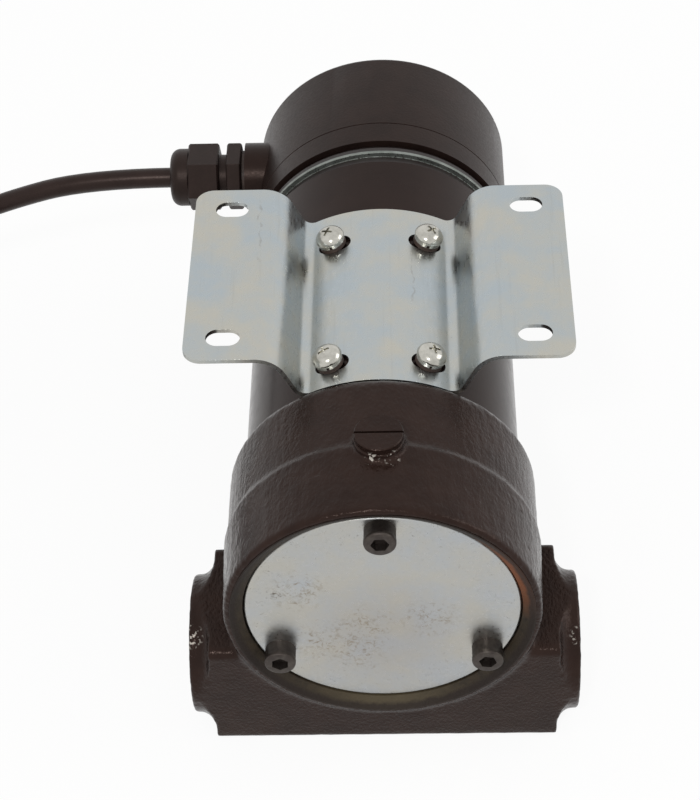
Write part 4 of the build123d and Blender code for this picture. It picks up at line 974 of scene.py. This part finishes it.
# Four pan-head screws of the bracket: smooth dome, small cross recess
panPlan = {
    "tilt": 19.5, "stations": (-44.95, 12.95), "seat": 49.73, "turns": (20, 65, 10, 40),
    "outline": [
        (0.0, -6.8), (2.5, -6.8), (2.5, 0.0), (4.6, 0.0), (4.95, 0.1), (5.05, 0.35), (5.0, 0.75),
        (4.8, 1.3), (4.45, 1.85), (3.95, 2.4), (3.25, 2.88), (2.4, 3.2), (1.4, 3.42), (0.6, 3.5),
        (0.0, 3.5),
    ],
    "crown": 3.5, "recess": (3.9, 0.8, 2.6), "recessDeep": 1.2,
    "apart": 0.001,                   # the cross's bars never share a face
}
crossCut = bmesh.new()
panHeads = []
panPlaces = [(side, station) for side in (-1, 1) for station in panPlan["stations"]]
for number, (side, station) in enumerate(panPlaces):
    lean = radians(panPlan["tilt"]) * side
    seatPlace = Matrix.Translation((
        sin(lean) * panPlan["seat"] * mm, station * mm, shaftZ + cos(lean) * panPlan["seat"] * mm,
    )) @ Matrix.Rotation(lean, 4, "Y")
    pan = bmesh.new()
    spots = [pan.verts.new((r * mm, 0, h * mm)) for r, h in panPlan["outline"]]
    joins = [pan.edges.new(pair) for pair in zip(spots, spots[1:])]
    bmesh.ops.spin(
        pan, geom=spots + joins, cent=(0, 0, 0), axis=(0, 0, 1), angle=tau, steps=48,
        use_merge=True,
    )
    bmesh.ops.remove_doubles(pan, verts=pan.verts, dist=0.002 * mm)
    bmesh.ops.recalc_face_normals(pan, faces=pan.faces)
    bmesh.ops.transform(pan, matrix=seatPlace, verts=pan.verts)
    panHeads.append(pan)
    for quarter in (0, 90):
        bar = bmesh.ops.create_cube(crossCut, size=1.0)["verts"]
        bmesh.ops.scale(crossCut, vec=Vector(panPlan["recess"]) * mm, verts=bar)
        spun = Matrix.Rotation(radians(panPlan["turns"][number] + quarter), 4, "Z")
        height = panPlan["crown"] + panPlan["recess"][2] / 2 - panPlan["recessDeep"]
        lifted = Matrix.Translation((0, 0, (height + panPlan["apart"] * quarter) * mm))
        bmesh.ops.transform(crossCut, matrix=seatPlace @ lifted @ spun, verts=bar)
allPans = bmesh.new()
for pan in panHeads:
    panData = bpy.data.meshes.new("pan head")
    pan.to_mesh(panData)
    pan.free()
    allPans.from_mesh(panData)
    bpy.data.meshes.remove(panData)
pansBlank = newObject("pan heads blank", bpy.data.meshes.new("pan heads blank"))
allPans.to_mesh(pansBlank.data)
allPans.free()
crossBlank = newObject("cross recesses", bpy.data.meshes.new("cross recesses"))
crossCut.to_mesh(crossBlank.data)
crossCut.free()
recessCut = pansBlank.modifiers.new("cross recess", "BOOLEAN")
recessCut.operation = "DIFFERENCE"
recessCut.solver = "EXACT"
recessCut.use_self = True
recessCut.object = crossBlank
bpy.context.view_layer.update()
pansCut = bmesh.new()
pansCut.from_object(pansBlank, bpy.context.evaluated_depsgraph_get())
bpy.data.objects.remove(pansBlank)
bpy.data.objects.remove(crossBlank)
placePiece(
    "bracket_screws_domed", pansCut, nickelSteel, "pump",
    ("bracket_screws",), 30,
)
print("plug and bracket screws in place")

# Pieces that keep the solid's shape, with real rounded edges
softened("cover_plate", zincCover, 0.3)
softened("mounting_bracket", zincSheet, 0.3)
softened("lock_washers", springSteel, 0.15, 2)
softened("rubber_washers", washerRubber, 0.25)
softened("end_cap", capPaint, 0.5)
softened("rear_end_plate", castAluminium, 0.25, 2)
glandPlan = {                         # its line in Y and Z; radii from, to and drawn in to
    "line": (96.25, 72.5), "collar": (9.98, 10.02, 8.3), "washer": (11.1, 11.3, 9.6),
}


def drawnIn(ring):
    # the round edge between the first two radii is drawn in to the third
    def draw(shape):
        for vert in shape.verts:
            out = Vector((
                vert.co.y / mm - glandPlan["line"][0], vert.co.z / mm - glandPlan["line"][1],
            ))
            if ring[0] < out.length < ring[1]:
                out = out.normalized() * ring[2]
                vert.co.y = (glandPlan["line"][0] + out.x) * mm
                vert.co.z = (glandPlan["line"][1] + out.y) * mm
    return draw


softened("gland_washer", washerRubber, 0.2, 2, shapedBy=drawnIn(glandPlan["washer"]))
softened("gland_body", glandNylon, 0.3, shapedBy=drawnIn(glandPlan["collar"]))
softened("gland_nut", glandNylon, 0.4)
softened("gland_seal", washerRubber, 0.3, 2)
softened("cap_screws", nickelSteel, 0.2, 2)
softened("pump_rotor", rotorIron, 0.2, 2)
softened("magnets", ferrite, 0.4, 2)
softened("terminal_block", phenolicCard, 0.3, 2)
softened("bypass_plug", brass, 0.3, 2)
for lift in ("upper", "lower"):
    softened(lift + "_brush", carbon, 0.3, 2)
for number in (1, 2, 3, 4):
    softened(f"vane_{number}", vanePlastic, 0.35, 2)
print("rounded pieces in place")

# Solids whose own shape is right
plainPieces = {
    "motor_can": tubePaint, "motor_shaft": groundSteel, "rotor_key": oxideSteel,
    "front_bearing_inner": groundSteel, "front_bearing_outer": groundSteel,
    "rear_bearing_inner": groundSteel, "rear_bearing_outer": groundSteel,
    "armature_core": rotorIron, "armature_windings": copperWire, "commutator": copperWire,
    "brush_card": phenolicCard, "brush_holders": brass, "bypass_poppet": brass,
    "shaft_seal": washerRubber, "cover_o_ring": washerRubber, "tie_bolts": oxideSteel,
    "supply_leads": sheathPvc,
}
for nodeName, finish in plainPieces.items():
    frame["nodes"][nodeName].data.materials.clear()
    frame["nodes"][nodeName].data.materials.append(finish["material"])
print("inner pieces finished")

# Springs: smooth copies of the solid's springs, each on its own mesh on its body; the travel of
# what each presses on is listed but not used
springPlan = {
    "travel": {"upper_brush": 4.0, "lower_brush": -4.0, "bypass_poppet": -3.5},
    "named": {"bypass_poppet": "bypass_spring"},
}
for pressed, travel in springPlan["travel"].items():
    springNode = springPlan["named"].get(pressed, f"{pressed}_spring")
    spring = placePiece(
        f"{springNode}_finished", mergedCopy(springNode), springSteel, bodyOf(springNode),
        (springNode,),
    )
    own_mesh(spring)

# World, floor and lamps
lightPlan = {
    "worldColour": "#FFFFFF",
    "worldStrength": 0.72,
    "floorColour": "#F4F4F2", "floorGloss": 0.85, "floorIor": 1.2,
    "floorGlow": 0.92,
    "key": {"place": (-0.22, -0.95, 1.2), "aim": (0, 0, 0.05), "size": 0.14, "watts": 6},
    "side": {"place": (1.3, 0.1, 0.8), "aim": (0, 0, 0.06), "size": 0.8, "watts": 4},
}


def directRays(material):
    # 1 for what the camera sees by itself, in a reflection or through something, else 0
    rays = addNode(material, "ShaderNodeLightPath")
    direct = addNode(
        material, "ShaderNodeMath", operation="MAXIMUM",
        links={0: rays.outputs["Is Camera Ray"], 1: rays.outputs["Is Glossy Ray"]},
    )
    return addNode(
        material, "ShaderNodeMath", operation="MAXIMUM",
        links={0: direct.outputs[0], 1: rays.outputs["Is Transmission Ray"]},
    ).outputs[0]


world = bpy.data.worlds.new("studio")
bpy.context.scene.world = world
world.use_nodes = True
world.node_tree.nodes.clear()
soft = addNode(
    world, "ShaderNodeBackground",
    {"Color": linearColour(lightPlan["worldColour"]), "Strength": lightPlan["worldStrength"]},
)
white = addNode(world, "ShaderNodeBackground", {"Color": (1, 1, 1, 1), "Strength": 1.0})
either = addNode(
    world, "ShaderNodeMixShader",
    links={0: directRays(world), 1: soft.outputs[0], 2: white.outputs[0]},
)
addNode(world, "ShaderNodeOutputWorld", links={"Surface": either.outputs[0]})

floorShape = bmesh.new()
bmesh.ops.create_grid(floorShape, x_segments=1, y_segments=1, size=3.0)
floorData = bpy.data.meshes.new("floor")
floorShape.to_mesh(floorData)
floorShape.free()
floor = newObject("floor", floorData)
# matt laminate that shows almost white and keeps the pump's shadow
table = bpy.data.materials.new("white matt table, lit from behind")
table.use_nodes = True
table.node_tree.nodes.clear()
tableMatt = addNode(
    table, "ShaderNodeBsdfPrincipled",
    {
        "Base Color": linearColour(lightPlan["floorColour"]),
        "Roughness": lightPlan["floorGloss"], "IOR": lightPlan["floorIor"],
    },
)
tableGlow = addNode(table, "ShaderNodeEmission", {"Color": (1, 1, 1, 1), "Strength": 1.0})
tableShare = addNode(
    table, "ShaderNodeMath", {1: lightPlan["floorGlow"]}, {0: directRays(table)},
    operation="MULTIPLY",
)
tableMix = addNode(
    table, "ShaderNodeMixShader",
    links={0: tableShare.outputs[0], 1: tableMatt.outputs[0], 2: tableGlow.outputs[0]},
)
addNode(table, "ShaderNodeOutputMaterial", links={"Surface": tableMix.outputs[0]})
floor.data.materials.append(table)

for lampName in ("key", "side"):
    lamp = lightPlan[lampName]
    lampData = bpy.data.lights.new(lampName, "AREA")
    lampData.energy = lamp["watts"]
    lampData.size = lamp["size"]
    lampObject = newObject(lampName, lampData)
    lampObject.location = lamp["place"]
    aim = Vector(lamp["aim"]) - Vector(lamp["place"])
    lampObject.rotation_euler = aim.to_track_quat("-Z", "Y").to_euler()
print("floor, world and lamps in place")
